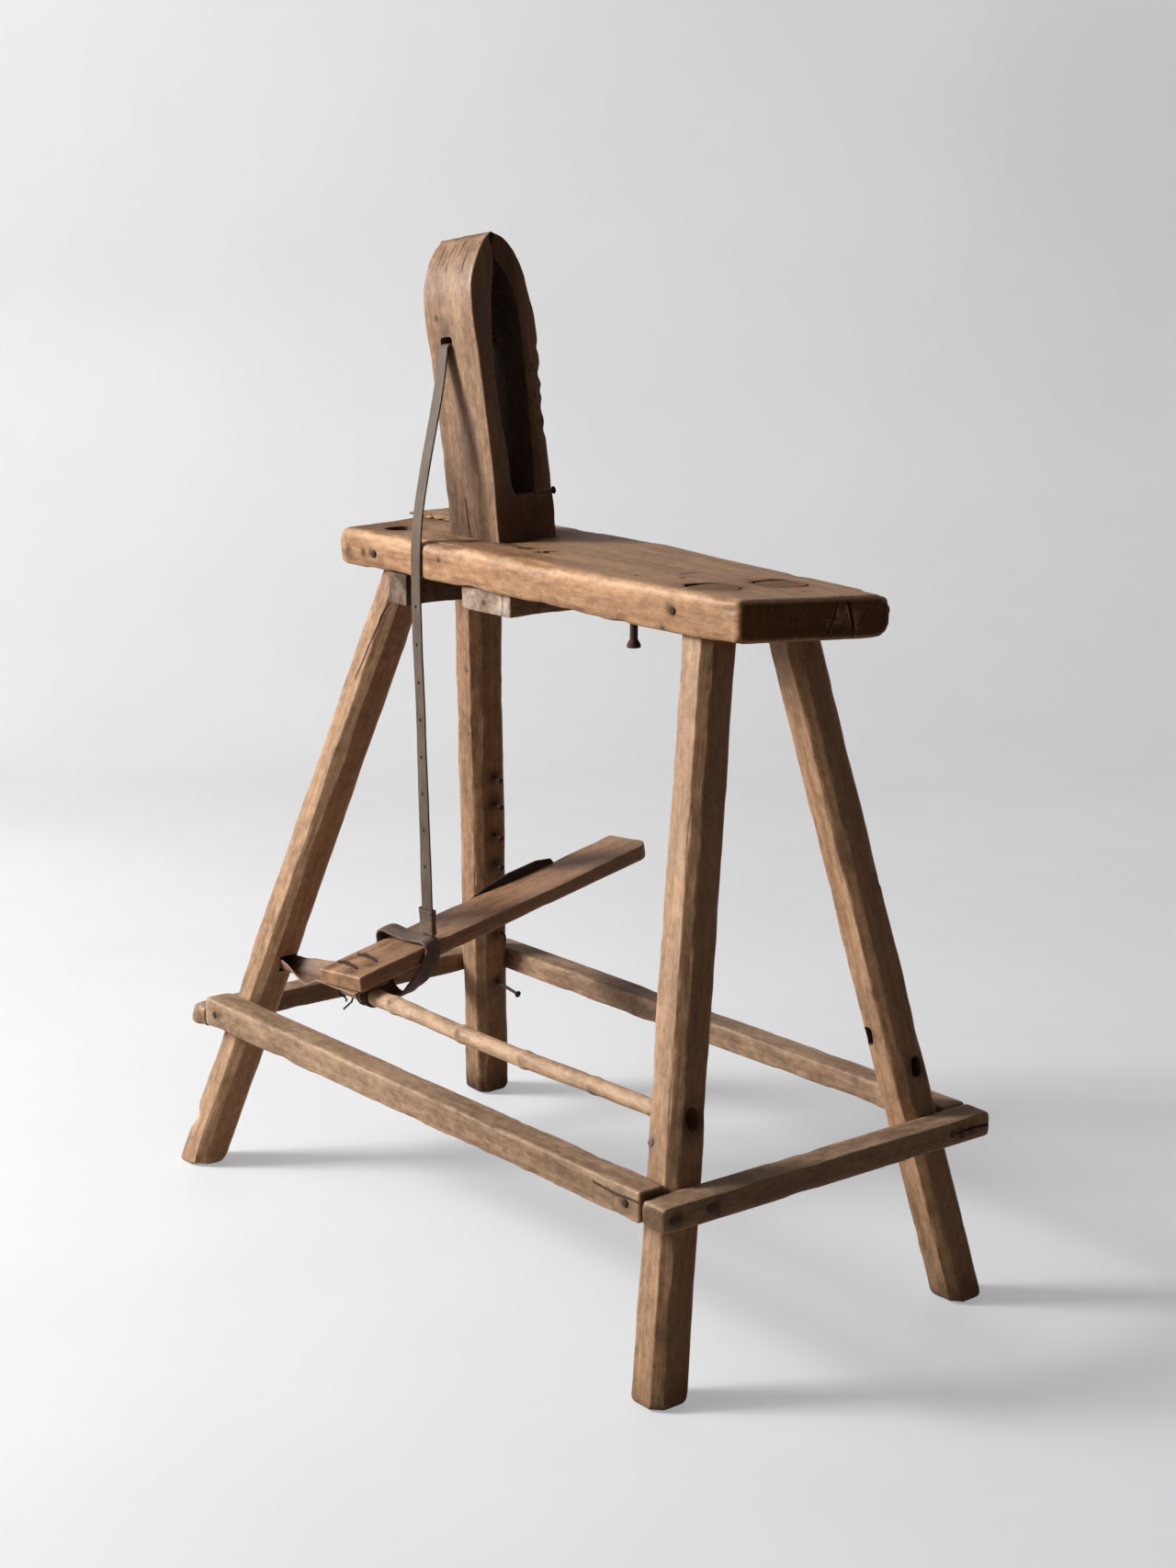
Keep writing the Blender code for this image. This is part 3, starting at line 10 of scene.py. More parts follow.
import bpy
import numpy as np
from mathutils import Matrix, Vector


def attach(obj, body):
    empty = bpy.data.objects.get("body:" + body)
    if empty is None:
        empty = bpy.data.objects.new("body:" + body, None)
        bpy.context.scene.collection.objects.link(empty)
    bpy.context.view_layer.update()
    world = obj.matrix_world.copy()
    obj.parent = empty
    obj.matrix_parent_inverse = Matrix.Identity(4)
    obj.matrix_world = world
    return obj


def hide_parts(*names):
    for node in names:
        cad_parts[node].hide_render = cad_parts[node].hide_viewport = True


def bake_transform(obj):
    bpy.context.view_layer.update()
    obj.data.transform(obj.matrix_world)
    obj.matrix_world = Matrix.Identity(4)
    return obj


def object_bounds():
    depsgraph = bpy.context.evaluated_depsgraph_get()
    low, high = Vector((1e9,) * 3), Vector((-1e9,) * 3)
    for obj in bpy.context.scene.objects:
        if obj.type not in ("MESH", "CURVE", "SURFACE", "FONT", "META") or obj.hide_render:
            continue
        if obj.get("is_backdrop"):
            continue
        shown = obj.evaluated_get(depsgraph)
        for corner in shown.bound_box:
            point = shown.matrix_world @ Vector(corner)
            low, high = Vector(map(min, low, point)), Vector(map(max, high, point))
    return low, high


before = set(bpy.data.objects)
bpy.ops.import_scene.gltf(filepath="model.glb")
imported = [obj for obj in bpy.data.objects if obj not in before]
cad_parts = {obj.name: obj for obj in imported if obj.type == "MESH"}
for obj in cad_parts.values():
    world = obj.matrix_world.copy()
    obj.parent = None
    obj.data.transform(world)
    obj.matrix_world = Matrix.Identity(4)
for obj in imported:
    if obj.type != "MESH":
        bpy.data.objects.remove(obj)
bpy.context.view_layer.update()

SHIFT = np.array((0.0306, -0.043, 0.0))
X, Y, Z = np.eye(3)

# %% [markdown]
# ## Noise
# Old wood is never flat: the tools, the weather and the hands leave small waves. A lattice of random numbers,
# blended smoothly, gives such waves. The same point always gives the same value, so the bench is the same
# every time that the script runs.

# %% Noise


def ease(x, start, end):
    """A smooth step: 3t^2 - 2t^3, where t runs from 0 at start to 1 at end."""
    t = np.clip((x - start) / (end - start), 0.0, 1.0)
    return t * t * (3.0 - 2.0 * t)


def noise(p, seed):
    """Values from -1 to 1: random numbers at whole-number points, blended over a cell's eight corners."""
    cell = np.floor(p).astype(np.int64)
    t = p - cell
    t = t * t * (3.0 - 2.0 * t)
    total = 0.0
    for corner in np.ndindex(2, 2, 2):
        n = cell + corner
        h = n[..., 0] * 374761393 + n[..., 1] * 668265263 + n[..., 2] * 1442695041 + seed * 974634397
        h = (h ^ (h >> 13)) & 0x7FFFFFFF
        h = (h * 1274126177) & 0x7FFFFFFF
        h = h ^ (h >> 16)
        share = np.where(np.array(corner) == 1, t, 1.0 - t).prod(axis=-1)
        total = total + ((h & 0xFFFF) / 32767.5 - 1.0) * share
    return total


def rough(p, seed):
    """Three layers of noise, each twice as fine and half as tall as the one before."""
    return (noise(p, seed) + 0.5 * noise(p * 2.0, seed + 1) + 0.25 * noise(p * 4.0, seed + 2)) / 1.75


print("noise sample", round(float(noise(np.array((0.3, 1.7, 2.2)), 5)), 4))

# %% [markdown]
# ## Sections and lines
# Nearly every piece here is a section moved along a line. A section is a polygon with rounded corners. A line
# is straight, or a smooth curve through a few points.

# %% Sections and lines


def unit(v):
    """A vector divided by its length."""
    v = np.asarray(v, float)
    return v / np.linalg.norm(v, axis=-1, keepdims=True)


def outline(corners, radii, edges, turn=4):
    """A polygon with rounded corners: (1-t)^2 a + 2t(1-t) c + t^2 b round each corner c, straight between.

    Edges gives the number of points inside each straight side, and turn the points of each corner."""
    corners = np.asarray(corners, float)
    radii = np.asarray(radii, float)[..., None]
    a = corners + unit(np.roll(corners, 1, -2) - corners) * radii
    b = corners + unit(np.roll(corners, -1, -2) - corners) * radii
    t = np.linspace(0.0, 1.0, turn)[:, None]
    out = []
    after = np.roll(a, -1, -2)
    for k, count in enumerate(edges):
        ak, bk, ck = a[..., k, None, :], b[..., k, None, :], corners[..., k, None, :]
        out.append((1 - t) ** 2 * ak + 2 * t * (1 - t) * ck + t ** 2 * bk)
        e = np.linspace(0.0, 1.0, count + 2)[1:-1, None]
        out.append(bk * (1 - e) + after[..., k, None, :] * e)
    return np.concatenate(out, axis=-2)


def slab_corners(x0, x1, y0, y1, inset):
    """Four corners of a rectangle at each station, drawn in by the inset."""
    x0, x1, y0, y1 = (np.broadcast_to(v, inset.shape) for v in (x0, x1, y0, y1))
    x0, x1, y0, y1 = x0 + inset, x1 - inset, y0 + inset, y1 - inset
    return np.stack([np.stack(pair, -1) for pair in ((x1, y0), (x1, y1), (x0, y1), (x0, y0))], axis=1)


def circle(count):
    """Points (cos a, sin a) at even angles."""
    a = np.linspace(0.0, 2 * np.pi, count + 1)[:-1]
    return np.stack([np.cos(a), np.sin(a)], -1)


def stations(length, low, high, count):
    """Places along a member, and how far its section draws in there: a quarter circle at each end."""
    turn = np.linspace(0.0, np.pi / 2, 5)
    s = [low * (1 - np.cos(turn)), np.linspace(low, length - high, count)[1:-1]]
    s += [length - high * (1 - np.cos(turn[::-1]))]
    inset = [low * (1 - np.sin(turn)), np.zeros(count - 2), high * (1 - np.sin(turn[::-1]))]
    return np.concatenate(s), np.concatenate(inset)


def through(x, y, at):
    """A smooth line through (x, y), read at places: cubic Hermite pieces, slopes from the neighbours."""
    y = np.reshape(y, (len(x), -1))
    slope = np.gradient(y, x, axis=0)
    k = np.clip(np.searchsorted(x, at) - 1, 0, len(x) - 2)
    d = (x[k + 1] - x[k])[:, None]
    t = np.clip((at - x[k])[:, None] / d, 0.0, 1.0)
    return ((2 * t ** 3 - 3 * t ** 2 + 1) * y[k] + (t ** 3 - 2 * t ** 2 + t) * d * slope[k]
            + (-2 * t ** 3 + 3 * t ** 2) * y[k + 1] + (t ** 3 - t ** 2) * d * slope[k + 1])


def length_along(line):
    """The distance from a line's start to each of its points."""
    return np.concatenate([[0.0], np.cumsum(np.linalg.norm(np.diff(line, axis=0), axis=1))])


def curve(points, count):
    """Evenly spaced points of the smooth line through a few points."""
    points = np.asarray(points, float)
    d = length_along(points)
    return through(d, points, np.linspace(0.0, d[-1], count))


SQUARE = [(1, -1), (1, 1), (-1, 1), (-1, -1)]
print("a square section has", len(outline(SQUARE, np.full(4, 0.2), (2,) * 4)), "points")

# %% [markdown]
# ## From a grid to a closed skin
# A swept piece is a grid of points: one row for each station along the line, one column for each point round
# the section. The rows are joined with quads, and the two ends are closed with rings that shrink to a middle
# point. A loop has no ends, so its last row joins its first.

# %% Skins


def sweep(path, ex, ey, ring):
    """Rows of points: station + x * ex + y * ey for each (x, y) of the section there."""
    n = len(path)
    ring = np.broadcast_to(ring, (n,) + ring.shape[-2:])
    ex, ey = (np.broadcast_to(np.asarray(v, float), (n, 3))[:, None, :] for v in (ex, ey))
    return path[:, None, :] + ring[..., 0:1] * ex + ring[..., 1:2] * ey


def close_ends(rows, shares=(0.05, 0.18, 0.36, 0.56, 0.76, 0.92)):
    """Adds rings that shrink to the middle of the first and last row."""
    k = np.array(shares)[:, None, None]
    first, last = rows[0], rows[-1]
    start = first + (first.mean(0) - first) * k
    end = last + (last.mean(0) - last) * k
    return np.concatenate([start[::-1], rows, end])


def skin(name, rows, loop=False):
    """A closed mesh from a grid of points, in the part's frame, turned round if its volume is negative."""
    n, m, _ = rows.shape
    points = [rows.reshape(-1, 3)]
    i = (np.arange(n if loop else n - 1)[:, None]) * m
    j = np.arange(m)[None, :]
    k = (j + 1) % m
    up = (i + m) % (n * m)
    quads = np.stack(np.broadcast_arrays(i + j, i + k, up + k, up + j), -1).reshape(-1, 4)
    faces = quads.tolist()
    if not loop:
        points += [rows[0].mean(0)[None], rows[-1].mean(0)[None]]
        j, k = j[0], k[0]
        low = np.stack([np.full(m, n * m), k, j], -1)
        high = np.stack([np.full(m, n * m + 1), (n - 1) * m + j, (n - 1) * m + k], -1)
        faces += low.tolist() + high.tolist()
    points = np.concatenate(points) + SHIFT
    mesh = bpy.data.meshes.new(name)
    mesh.from_pydata(points.tolist(), [], faces)
    a, b, c = (points[quads[:, corner]] for corner in range(3))
    if (a * np.cross(b, c)).sum() < 0:
        mesh.flip_normals()
    mesh.shade_smooth()
    obj = bpy.data.objects.new(name, mesh)
    bpy.context.scene.collection.objects.link(obj)
    return obj


print("a swept square of three stations has", close_ends(sweep(np.eye(3), X, Y, circle(4))).shape[0], "rows")

# %% [markdown]
# ## Hand work and age
# An adze and a drawknife leave long shallow waves, the weather raises the fibres, and years of work leave
# dents and bites out of the corners. All of them are small moves of the grid's points along the normal.

# %% Ageing


def frame_for(origin, along, across):
    """Origin and three axes of a piece: along the grain, across it and through it."""
    along = unit(along)
    across = unit(np.asarray(across, float) - along * np.dot(across, along))
    return np.asarray(origin, float), np.stack([along, across, np.cross(along, across)])


def outward(rows):
    """Unit normals of a grid of points: the cross product of its two directions, turned to face out."""
    along = np.gradient(rows, axis=0)
    around = np.roll(rows, -1, 1) - np.roll(rows, 1, 1)
    out = np.cross(around, along)
    out = out / np.maximum(np.linalg.norm(out, axis=-1, keepdims=True), 1e-12)
    middle = rows.mean(axis=1, keepdims=True)
    return out if ((rows - middle) * out).sum() > 0 else -out


def bowl(p, spot, size):
    """A round hollow's depth from 1 in its middle: e^(-(distance / size)^2)."""
    return np.exp(-((p - np.asarray(spot)) ** 2).sum(-1) / size ** 2)


def aged(rows, frame_of, seed, wave, fibre, dents, nibble=0.0008, hurts=()):
    """Moves points along the normal: long waves + raised fibres - round dents - bites out of the corners.

    A corner is where a point stands out from the mean of its neighbours round the section. Each hurt is a
    larger broken place: its middle, its radius and its depth."""
    origin, axes = frame_of
    local = (rows - origin) @ np.asarray(axes).T
    push = wave * rough(local * (5.0, 26.0, 26.0) + seed, seed)
    push = push + fibre * noise(local * (26.0, 240.0, 240.0), seed + 5)
    rng = np.random.default_rng(seed)
    flat = rows.reshape(-1, 3)
    for _ in range(dents):
        spot = flat[rng.integers(len(flat))]
        size = rng.uniform(0.003, 0.009)
        push = push - rng.uniform(0.0002, 0.0008) * bowl(rows, spot, size)
    out = outward(rows)
    corner = ((rows - (np.roll(rows, 3, 1) + np.roll(rows, -3, 1)) / 2) * out).sum(-1)
    bite = np.clip(1.7 * rough(local * (24.0, 44.0, 44.0) + 2.0 * seed, seed + 9), 0.0, 1.0)
    push = push - nibble * np.clip(corner / 0.0012, 0.0, 1.0) * bite
    for spot, size, deep in hurts:
        push = push - deep * bowl(rows, spot, size)
    return rows + out * push[..., None]


print("a dent is", round(float(bowl(np.zeros(3), (0.002, 0, 0), 0.004)), 2), "deep at half its size")

# %% [markdown]
# ## Cuts
# Splits, slots and holes are real cuts: a thin blade or a rounded plug is taken out of the piece with a
# Boolean. The edges of a cut stay sharp, and the rest stays smooth.

# %% Cuts


def blade(path, side, into, wide, deep):
    """A thin wedge along a path, with a diamond section: what a split takes out of the wood."""
    path = np.asarray(path, float)
    t = np.linspace(0.0, 1.0, 24)
    at = np.linspace(0.0, 1.0, len(path))
    line = np.stack([np.interp(t, at, path[:, k]) for k in range(3)], -1)
    line = line + side * (noise(line * 90.0, 3) * wide * 0.8)[:, None]
    full = (np.sin(np.pi * (0.06 + 0.88 * t)) ** 0.5)[:, None]
    side, into = side * wide / 2, into * deep
    rows = np.stack([line + side * full, line + into * full, line - side * full, line - into * full], 1)
    return skin("split", rows)


def plug(centre, ex, ey, ez, half, radius, deep):
    """A cutter with rounded corners: half sizes along ex and ey, depth along ez both ways."""
    ring = outline(np.array(SQUARE) * half, np.full(4, radius), (3,) * 4, 6)
    path = np.asarray(centre) + np.linspace(-deep, deep, 3)[:, None] * ez
    return skin("plug", sweep(path, ex, ey, ring))


def carve(obj, *cutters):
    """Takes each cutter out of a piece and removes the cutter."""
    for cutter in cutters:
        mod = obj.modifiers.new("cut", "BOOLEAN")
        mod.operation, mod.object, mod.solver = "DIFFERENCE", cutter, "MANIFOLD"
    graph = bpy.context.evaluated_depsgraph_get()
    mesh = bpy.data.meshes.new_from_object(obj.evaluated_get(graph))
    obj.modifiers.clear()
    obj.data = mesh
    mesh.set_sharp_from_angle(angle=math.radians(50.0))
    for cutter in cutters:
        bpy.data.objects.remove(cutter, do_unlink=True)


# %% [markdown]
# ## Finishes
# A finish is a tree of nodes that ends in one shader. A small class keeps the tree, so that each finish reads
# as a recipe: clouds of noise, ramps that turn them into colours, and blends.

# %% Nodes


class Nodes:
    """A node tree that is being filled. Inputs are plain values or the outputs of other nodes."""

    def __init__(self, tree):
        self.tree = tree

    def put(self, kind, inputs=None, **settings):
        """Adds one shader node, sets its settings and fills its inputs."""
        node = self.tree.nodes.new("ShaderNode" + kind)
        for key, value in settings.items():
            setattr(node, key, value)
        for key, value in (inputs or {}).items():
            if isinstance(value, bpy.types.NodeSocket):
                self.tree.links.new(value, node.inputs[key])
            else:
                node.inputs[key].default_value = value
        return node

    def calc(self, how, a, b):
        """One sum of two values, kept between 0 and 1."""
        return self.put("Math", {0: a, 1: b}, operation=how, use_clamp=True).outputs[0]

    def times(self, a, b):
        """The product of two values."""
        return self.calc("MULTIPLY", a, b)

    def total(self, *terms):
        """Adds up values, each times its share."""
        whole, *rest = [self.times(*term) for term in terms]
        for part in rest:
            whole = self.calc("ADD", whole, part)
        return whole

    def blend(self, share, a, b):
        """Mixes two colours by a share."""
        a, b = ((*v, 1.0) if isinstance(v, tuple) else v for v in (a, b))
        return self.put("Mix", {0: share, 6: a, 7: b}, data_type="RGBA", blend_type="MIX").outputs[2]

    def ramp(self, value, *stops):
        """A colour ramp: (place, grey or colour) for each stop."""
        node = self.put("ValToRGB", {0: value})
        spots = node.color_ramp.elements
        while len(spots) < len(stops):
            spots.new(0.5)
        for spot, (place, tone) in zip(spots, stops):
            spot.position = place
            spot.color = (*tone, 1.0) if isinstance(tone, tuple) else (tone, tone, tone, 1.0)
        return node.outputs[0]

    def cloud(self, where, scale, detail=3.0, roughness=0.55, distort=0.0):
        """Noise from 0 to 1 over stretched coordinates."""
        spot = self.put("Mapping", {0: where, 3: scale}).outputs[0]
        return self.put("TexNoise", {0: spot, "Scale": 1.0, "Detail": detail, "Roughness": roughness,
                                     "Distortion": distort}).outputs[0]

    def stored(self, name, output="Fac"):
        """A value stored on the mesh."""
        return self.put("Attribute", attribute_name=name).outputs[output]

    def place(self):
        """The object's own coordinates."""
        return self.put("TexCoord").outputs["Object"]

    def seen(self):
        """1 for what the camera sees, also in a reflection or through glass, and 0 for other light."""
        ray = self.put("LightPath").outputs
        direct = self.calc("ADD", ray["Is Camera Ray"], ray["Is Glossy Ray"])
        return self.calc("ADD", direct, ray["Is Transmission Ray"])

    def surface(self, colour, dull, high, strength, tall, constants):
        """The shader: colour, roughness and bump from nodes, constants on the shader's own sockets."""
        bump = self.put("Bump", {"Strength": strength, "Distance": tall, "Height": high}).outputs[0]
        shader = self.put("BsdfPrincipled", {"Base Color": colour, "Roughness": dull, "Normal": bump,
                                             **constants})
        self.put("OutputMaterial", {0: shader.outputs[0]})


def new_finish(name):
    """An empty material and its node tree."""
    mat = bpy.data.materials.new(name)
    mat.use_nodes = True
    mat.node_tree.nodes.clear()
    return mat, Nodes(mat.node_tree)


def tint(colour, *factors):
    """A colour times one factor, or times one for each channel."""
    return tuple(c * f for c, f in zip(colour, factors if len(factors) == 3 else factors * 3))


def rubbed(colour, gain):
    """A colour made paler, as a rubbed edge is: gain times the colour, plus a little white."""
    return tuple(min(c * gain + 0.03, 1.0) for c in colour)


# %% [markdown]
# ## Wood
# The wood finish reads the stored grain values, so that its streaks run along each member however it leans.
# Fine fibres, short pores, broad streaks and blotches of dirt are mixed. Edges are rubbed lighter, hollows
# are painted nearly black as painted shade, splits are nearly black, end grain is darker and dull, and a
# stored share darkens the wood: grime where hands and feet never rub, and painted shade in the jaws' throat,
# on sides away from the lamps, on the far leg and under the plank.

# %% Wood


def wood(name, light, mid, deep, grime, gloss):
    """Old wood: streaks, fibres and pores along the grain, mottled dirt, rubbed edges, dark end grain."""
    mat, n = new_finish(name)
    grain = n.stored("grain", "Vector")
    wear, dark, end, grime_and_shade = (n.stored(value) for value in ("wear", "dark", "endgrain", "grime_and_shade"))
    broad = n.cloud(grain, (3.0, 34.0, 34.0), 4.0, 0.6, 0.7)
    figure = n.cloud(grain, (6.0, 170.0, 170.0), 3.0, 0.6, 1.1)
    fibre = n.cloud(grain, (26.0, 520.0, 520.0), 3.0, 0.7)
    blotch = n.cloud(grain, (14.0, 34.0, 34.0), 5.0, 0.65, 0.5)
    mottle = n.cloud(grain, (70.0, 130.0, 130.0), 4.0, 0.7, 0.3)
    pores = n.ramp(n.cloud(grain, (90.0, 1000.0, 1000.0), 1.0), (0.33, 1.0), (0.44, 0.0))
    specks = n.ramp(n.cloud(grain, (190.0, 260.0, 260.0), 2.0, 0.6), (0.7, 0.0), (0.75, 1.0))
    murk = n.total((blotch, 0.62), (mottle, 0.38))
    rub = n.times(wear, n.ramp(murk, (0.38, 0.25), (0.58, 1.0)))
    ticks = n.calc("MAXIMUM", n.times(pores, 0.22), n.times(specks, 0.7))

    shade, cut = tint(deep, 0.4, 0.33, 0.27), tint(mid, 0.42, 0.36, 0.31)
    tone = n.total((broad, 0.4), (figure, 0.22), (fibre, 0.16), (mottle, 0.22))
    colour = n.ramp(tone, (0.36, deep), (0.5, mid), (0.63, light))
    colour = n.blend(n.times(n.ramp(murk, (0.38, 1.0), (0.57, 0.0)), grime), colour, shade)
    colour = n.blend(n.times(rub, 0.8), colour, rubbed(light, 1.22))
    rings = n.cloud(grain, (10.0, 260.0, 120.0), 3.0, 0.6, 2.0)
    colour = n.blend(n.times(end, 0.88), colour, n.ramp(rings, (0.32, tint(cut, 0.35)), (0.68, cut)))
    # The stored share darkens the colour towards a deep brown: grime, and painted shade in the jaws' throat,
    # on the jaws' shaded sides, on the near and far clamp end legs and on the clamp end batten.
    grime_and_shade_share = n.times(grime_and_shade, n.ramp(murk, (0.4, 1.0), (0.64, 0.62)))
    colour = n.blend(grime_and_shade_share, colour, tint(shade, 0.4))
    colour = n.blend(ticks, colour, shade)
    # Hollows, holes, splits and stains go nearly black by the stored dark value; in hollows and holes this is
    # painted shade.
    colour = n.blend(n.times(dark, 0.94), colour, tint(deep, 0.08))

    dull = n.ramp(n.total((murk, 0.5), (fibre, 0.5)), (0.35, gloss - 0.08), (0.65, gloss + 0.2))
    dull = n.calc("SUBTRACT", dull, n.times(rub, 0.12))
    matt_share = n.calc("MAXIMUM", n.calc("MAXIMUM", dark, grime_and_shade), end)
    dull = n.calc("ADD", dull, n.times(matt_share, 0.5))
    slant = n.put("Mapping", {0: grain, 2: (0.0, 0.6, 0.6), 3: (430.0, 50.0, 50.0)}).outputs[0]
    tools = n.put("TexNoise", {0: slant, "Scale": 1.0, "Detail": 2.0}).outputs[0]
    high = n.total((fibre, 0.45), (figure, 0.3), (mottle, 0.25))
    high = n.calc("SUBTRACT", high, n.times(ticks, 0.4))
    high = n.calc("ADD", high, n.times(tools, 0.28))
    n.surface(colour, dull, high, 0.5, 0.0009, {"Specular IOR Level": 0.3})
    return mat


def peg_wood(name):
    """The sawn end of a small peg: grey-brown rings and dirt, on object coordinates."""
    mat, n = new_finish(name)
    where = n.place()
    rings = n.cloud(where, (420.0,) * 3, 3.0, 0.6, 1.5)
    dirt = n.cloud(where, (120.0,) * 3)
    colour = n.ramp(rings, (0.3, (0.1, 0.062, 0.042)), (0.7, (0.32, 0.225, 0.16)))
    colour = n.blend(n.ramp(dirt, (0.4, 0.6), (0.6, 0.0)), colour, (0.03, 0.018, 0.012))
    n.surface(colour, n.ramp(rings, (0.3, 0.85), (0.7, 0.6)), rings, 0.5, 0.0006, {})
    return mat


# Light, middle and deep colour, share of dirt, roughness.
WOODS = {
    "plank_wood": ((0.58, 0.352, 0.192), (0.415, 0.23, 0.116), (0.208, 0.093, 0.038), 0.46, 0.5),
    # A paler copy of the leg wood for the near clamp end leg: painted light, so that its side away from the
    # lamps stays light.
    "near_leg_wood_painted_light": ((0.66, 0.445, 0.285), (0.52, 0.322, 0.19), (0.29, 0.155, 0.077), 0.46, 0.52),
    "leg_wood": ((0.54, 0.355, 0.22), (0.415, 0.25, 0.142), (0.22, 0.112, 0.052), 0.46, 0.52),
    "rail_wood": ((0.46, 0.315, 0.205), (0.325, 0.208, 0.126), (0.155, 0.086, 0.046), 0.54, 0.58),
    "board_wood": ((0.48, 0.29, 0.172), (0.35, 0.192, 0.106), (0.172, 0.083, 0.04), 0.45, 0.46),
    "grey_wood": ((0.52, 0.42, 0.335), (0.36, 0.275, 0.208), (0.15, 0.098, 0.064), 0.5, 0.66),
    "jaw_wood": ((0.4, 0.252, 0.15), (0.275, 0.158, 0.086), (0.13, 0.062, 0.027), 0.55, 0.4),
    "rod_wood": ((0.6, 0.43, 0.29), (0.465, 0.305, 0.186), (0.245, 0.138, 0.072), 0.45, 0.55),
}
FINISH = {name: wood(name, *look) for name, look in WOODS.items()}
FINISH["peg_wood"] = peg_wood("peg_wood")
print("wood finishes", len(FINISH))

# %% [markdown]
# ## Leather and iron
# Old leather is dark with grease, finely pebbled and a little paler along its worn edges. The iron is nearly
# black scale with brown rust, so it hardly shines.

# %% Leather and iron


def leather(name, light, deep):
    """Old leather: a fine pebble, dark grease, and paler worn edges."""
    mat, n = new_finish(name)
    grain = n.stored("grain", "Vector")
    grease = n.cloud(grain, (18.0, 60.0, 60.0), 4.0, 0.6)
    scuff = n.cloud(grain, (60.0, 420.0, 420.0), 3.0, 0.6)
    spot = n.put("Mapping", {0: grain, 3: (900.0,) * 3}).outputs[0]
    pebble = n.put("TexVoronoi", {"Vector": spot, "Scale": 1.0}).outputs[0]
    colour = n.ramp(n.total((grease, 0.6), (scuff, 0.4)), (0.34, deep), (0.66, light))
    colour = n.blend(n.times(n.stored("wear"), 0.18), colour, rubbed(light, 1.5))
    # Hollows and stained spots go nearly black by the stored dark value; in the hollows this is painted
    # shade.
    colour = n.blend(n.times(n.stored("dark"), 0.9), colour, tint(deep, 0.12))
    dull = n.ramp(scuff, (0.3, 0.46), (0.7, 0.72))
    n.surface(colour, dull, n.total((pebble, 0.5), (scuff, 0.5)), 0.5, 0.0006, {"Specular IOR Level": 0.22})
    return mat


def iron(name):
    """Rusted wrought iron: nearly black scale with brown rust and pits, on object coordinates."""
    mat, n = new_finish(name)
    where = n.place()
    broad = n.cloud(where, (160.0,) * 3, 4.0, 0.6)
    fine = n.cloud(where, (900.0,) * 3, 2.0, 0.6)
    tone = n.total((broad, 0.7), (fine, 0.3))
    colour = n.ramp(tone, (0.36, (0.016, 0.011, 0.009)), (0.52, (0.045, 0.026, 0.018)),
                    (0.68, (0.115, 0.055, 0.03)))
    dull = n.ramp(tone, (0.3, 0.58), (0.65, 0.86))
    n.surface(colour, dull, tone, 0.6, 0.0005, {"Metallic": 0.35, "Specular IOR Level": 0.3})
    return mat


LEATHERS = {
    "strap_leather": ((0.132, 0.096, 0.072), (0.06, 0.042, 0.031)),
    "dark_leather": ((0.205, 0.15, 0.116), (0.07, 0.046, 0.034)),
    "hinge_leather": ((0.33, 0.205, 0.138), (0.11, 0.06, 0.038)),
}
FINISH |= {name: leather(name, *look) for name, look in LEATHERS.items()}
FINISH["old_iron"] = iron("old_iron")
print("finishes", len(FINISH))

# %% [markdown]
# ## Dressing a piece
# The finishes read values that are stored at each point of a piece: where it lies along the grain, how much
# it is rubbed, how dark it is in hollows, stains and splits, where it shows end grain, and how grimy it is.
# Then the piece gets its finish and is handed to the body that it rides on.

# %% Dressing a piece


def values(mesh, name, data):
    """Stores one value or vector for each point of a mesh."""
    kind = "FLOAT" if data.ndim == 1 else "FLOAT_VECTOR"
    layer = mesh.attributes.new(name, kind, "POINT")
    layer.data.foreach_set("value" if data.ndim == 1 else "vector", data.astype(np.float32).ravel())


def near_line(p, line):
    """Distance from each point to a line of straight pieces."""
    line = np.asarray(line, float)
    best = np.full(len(p), 1e9)
    for a, b in zip(line[:-1], line[1:]):
        t = np.clip((p - a) @ (b - a) / max((b - a) @ (b - a), 1e-12), 0.0, 1.0)
        best = np.minimum(best, np.linalg.norm(p - a - t[:, None] * (b - a), axis=1))
    return best


def read(source, key, kind=float, wide=3):
    """A whole column of a mesh's data as an array with a row for each item."""
    data = np.empty(len(source) * wide, kind)
    source.foreach_get(key, data)
    return data.reshape(-1, wide)


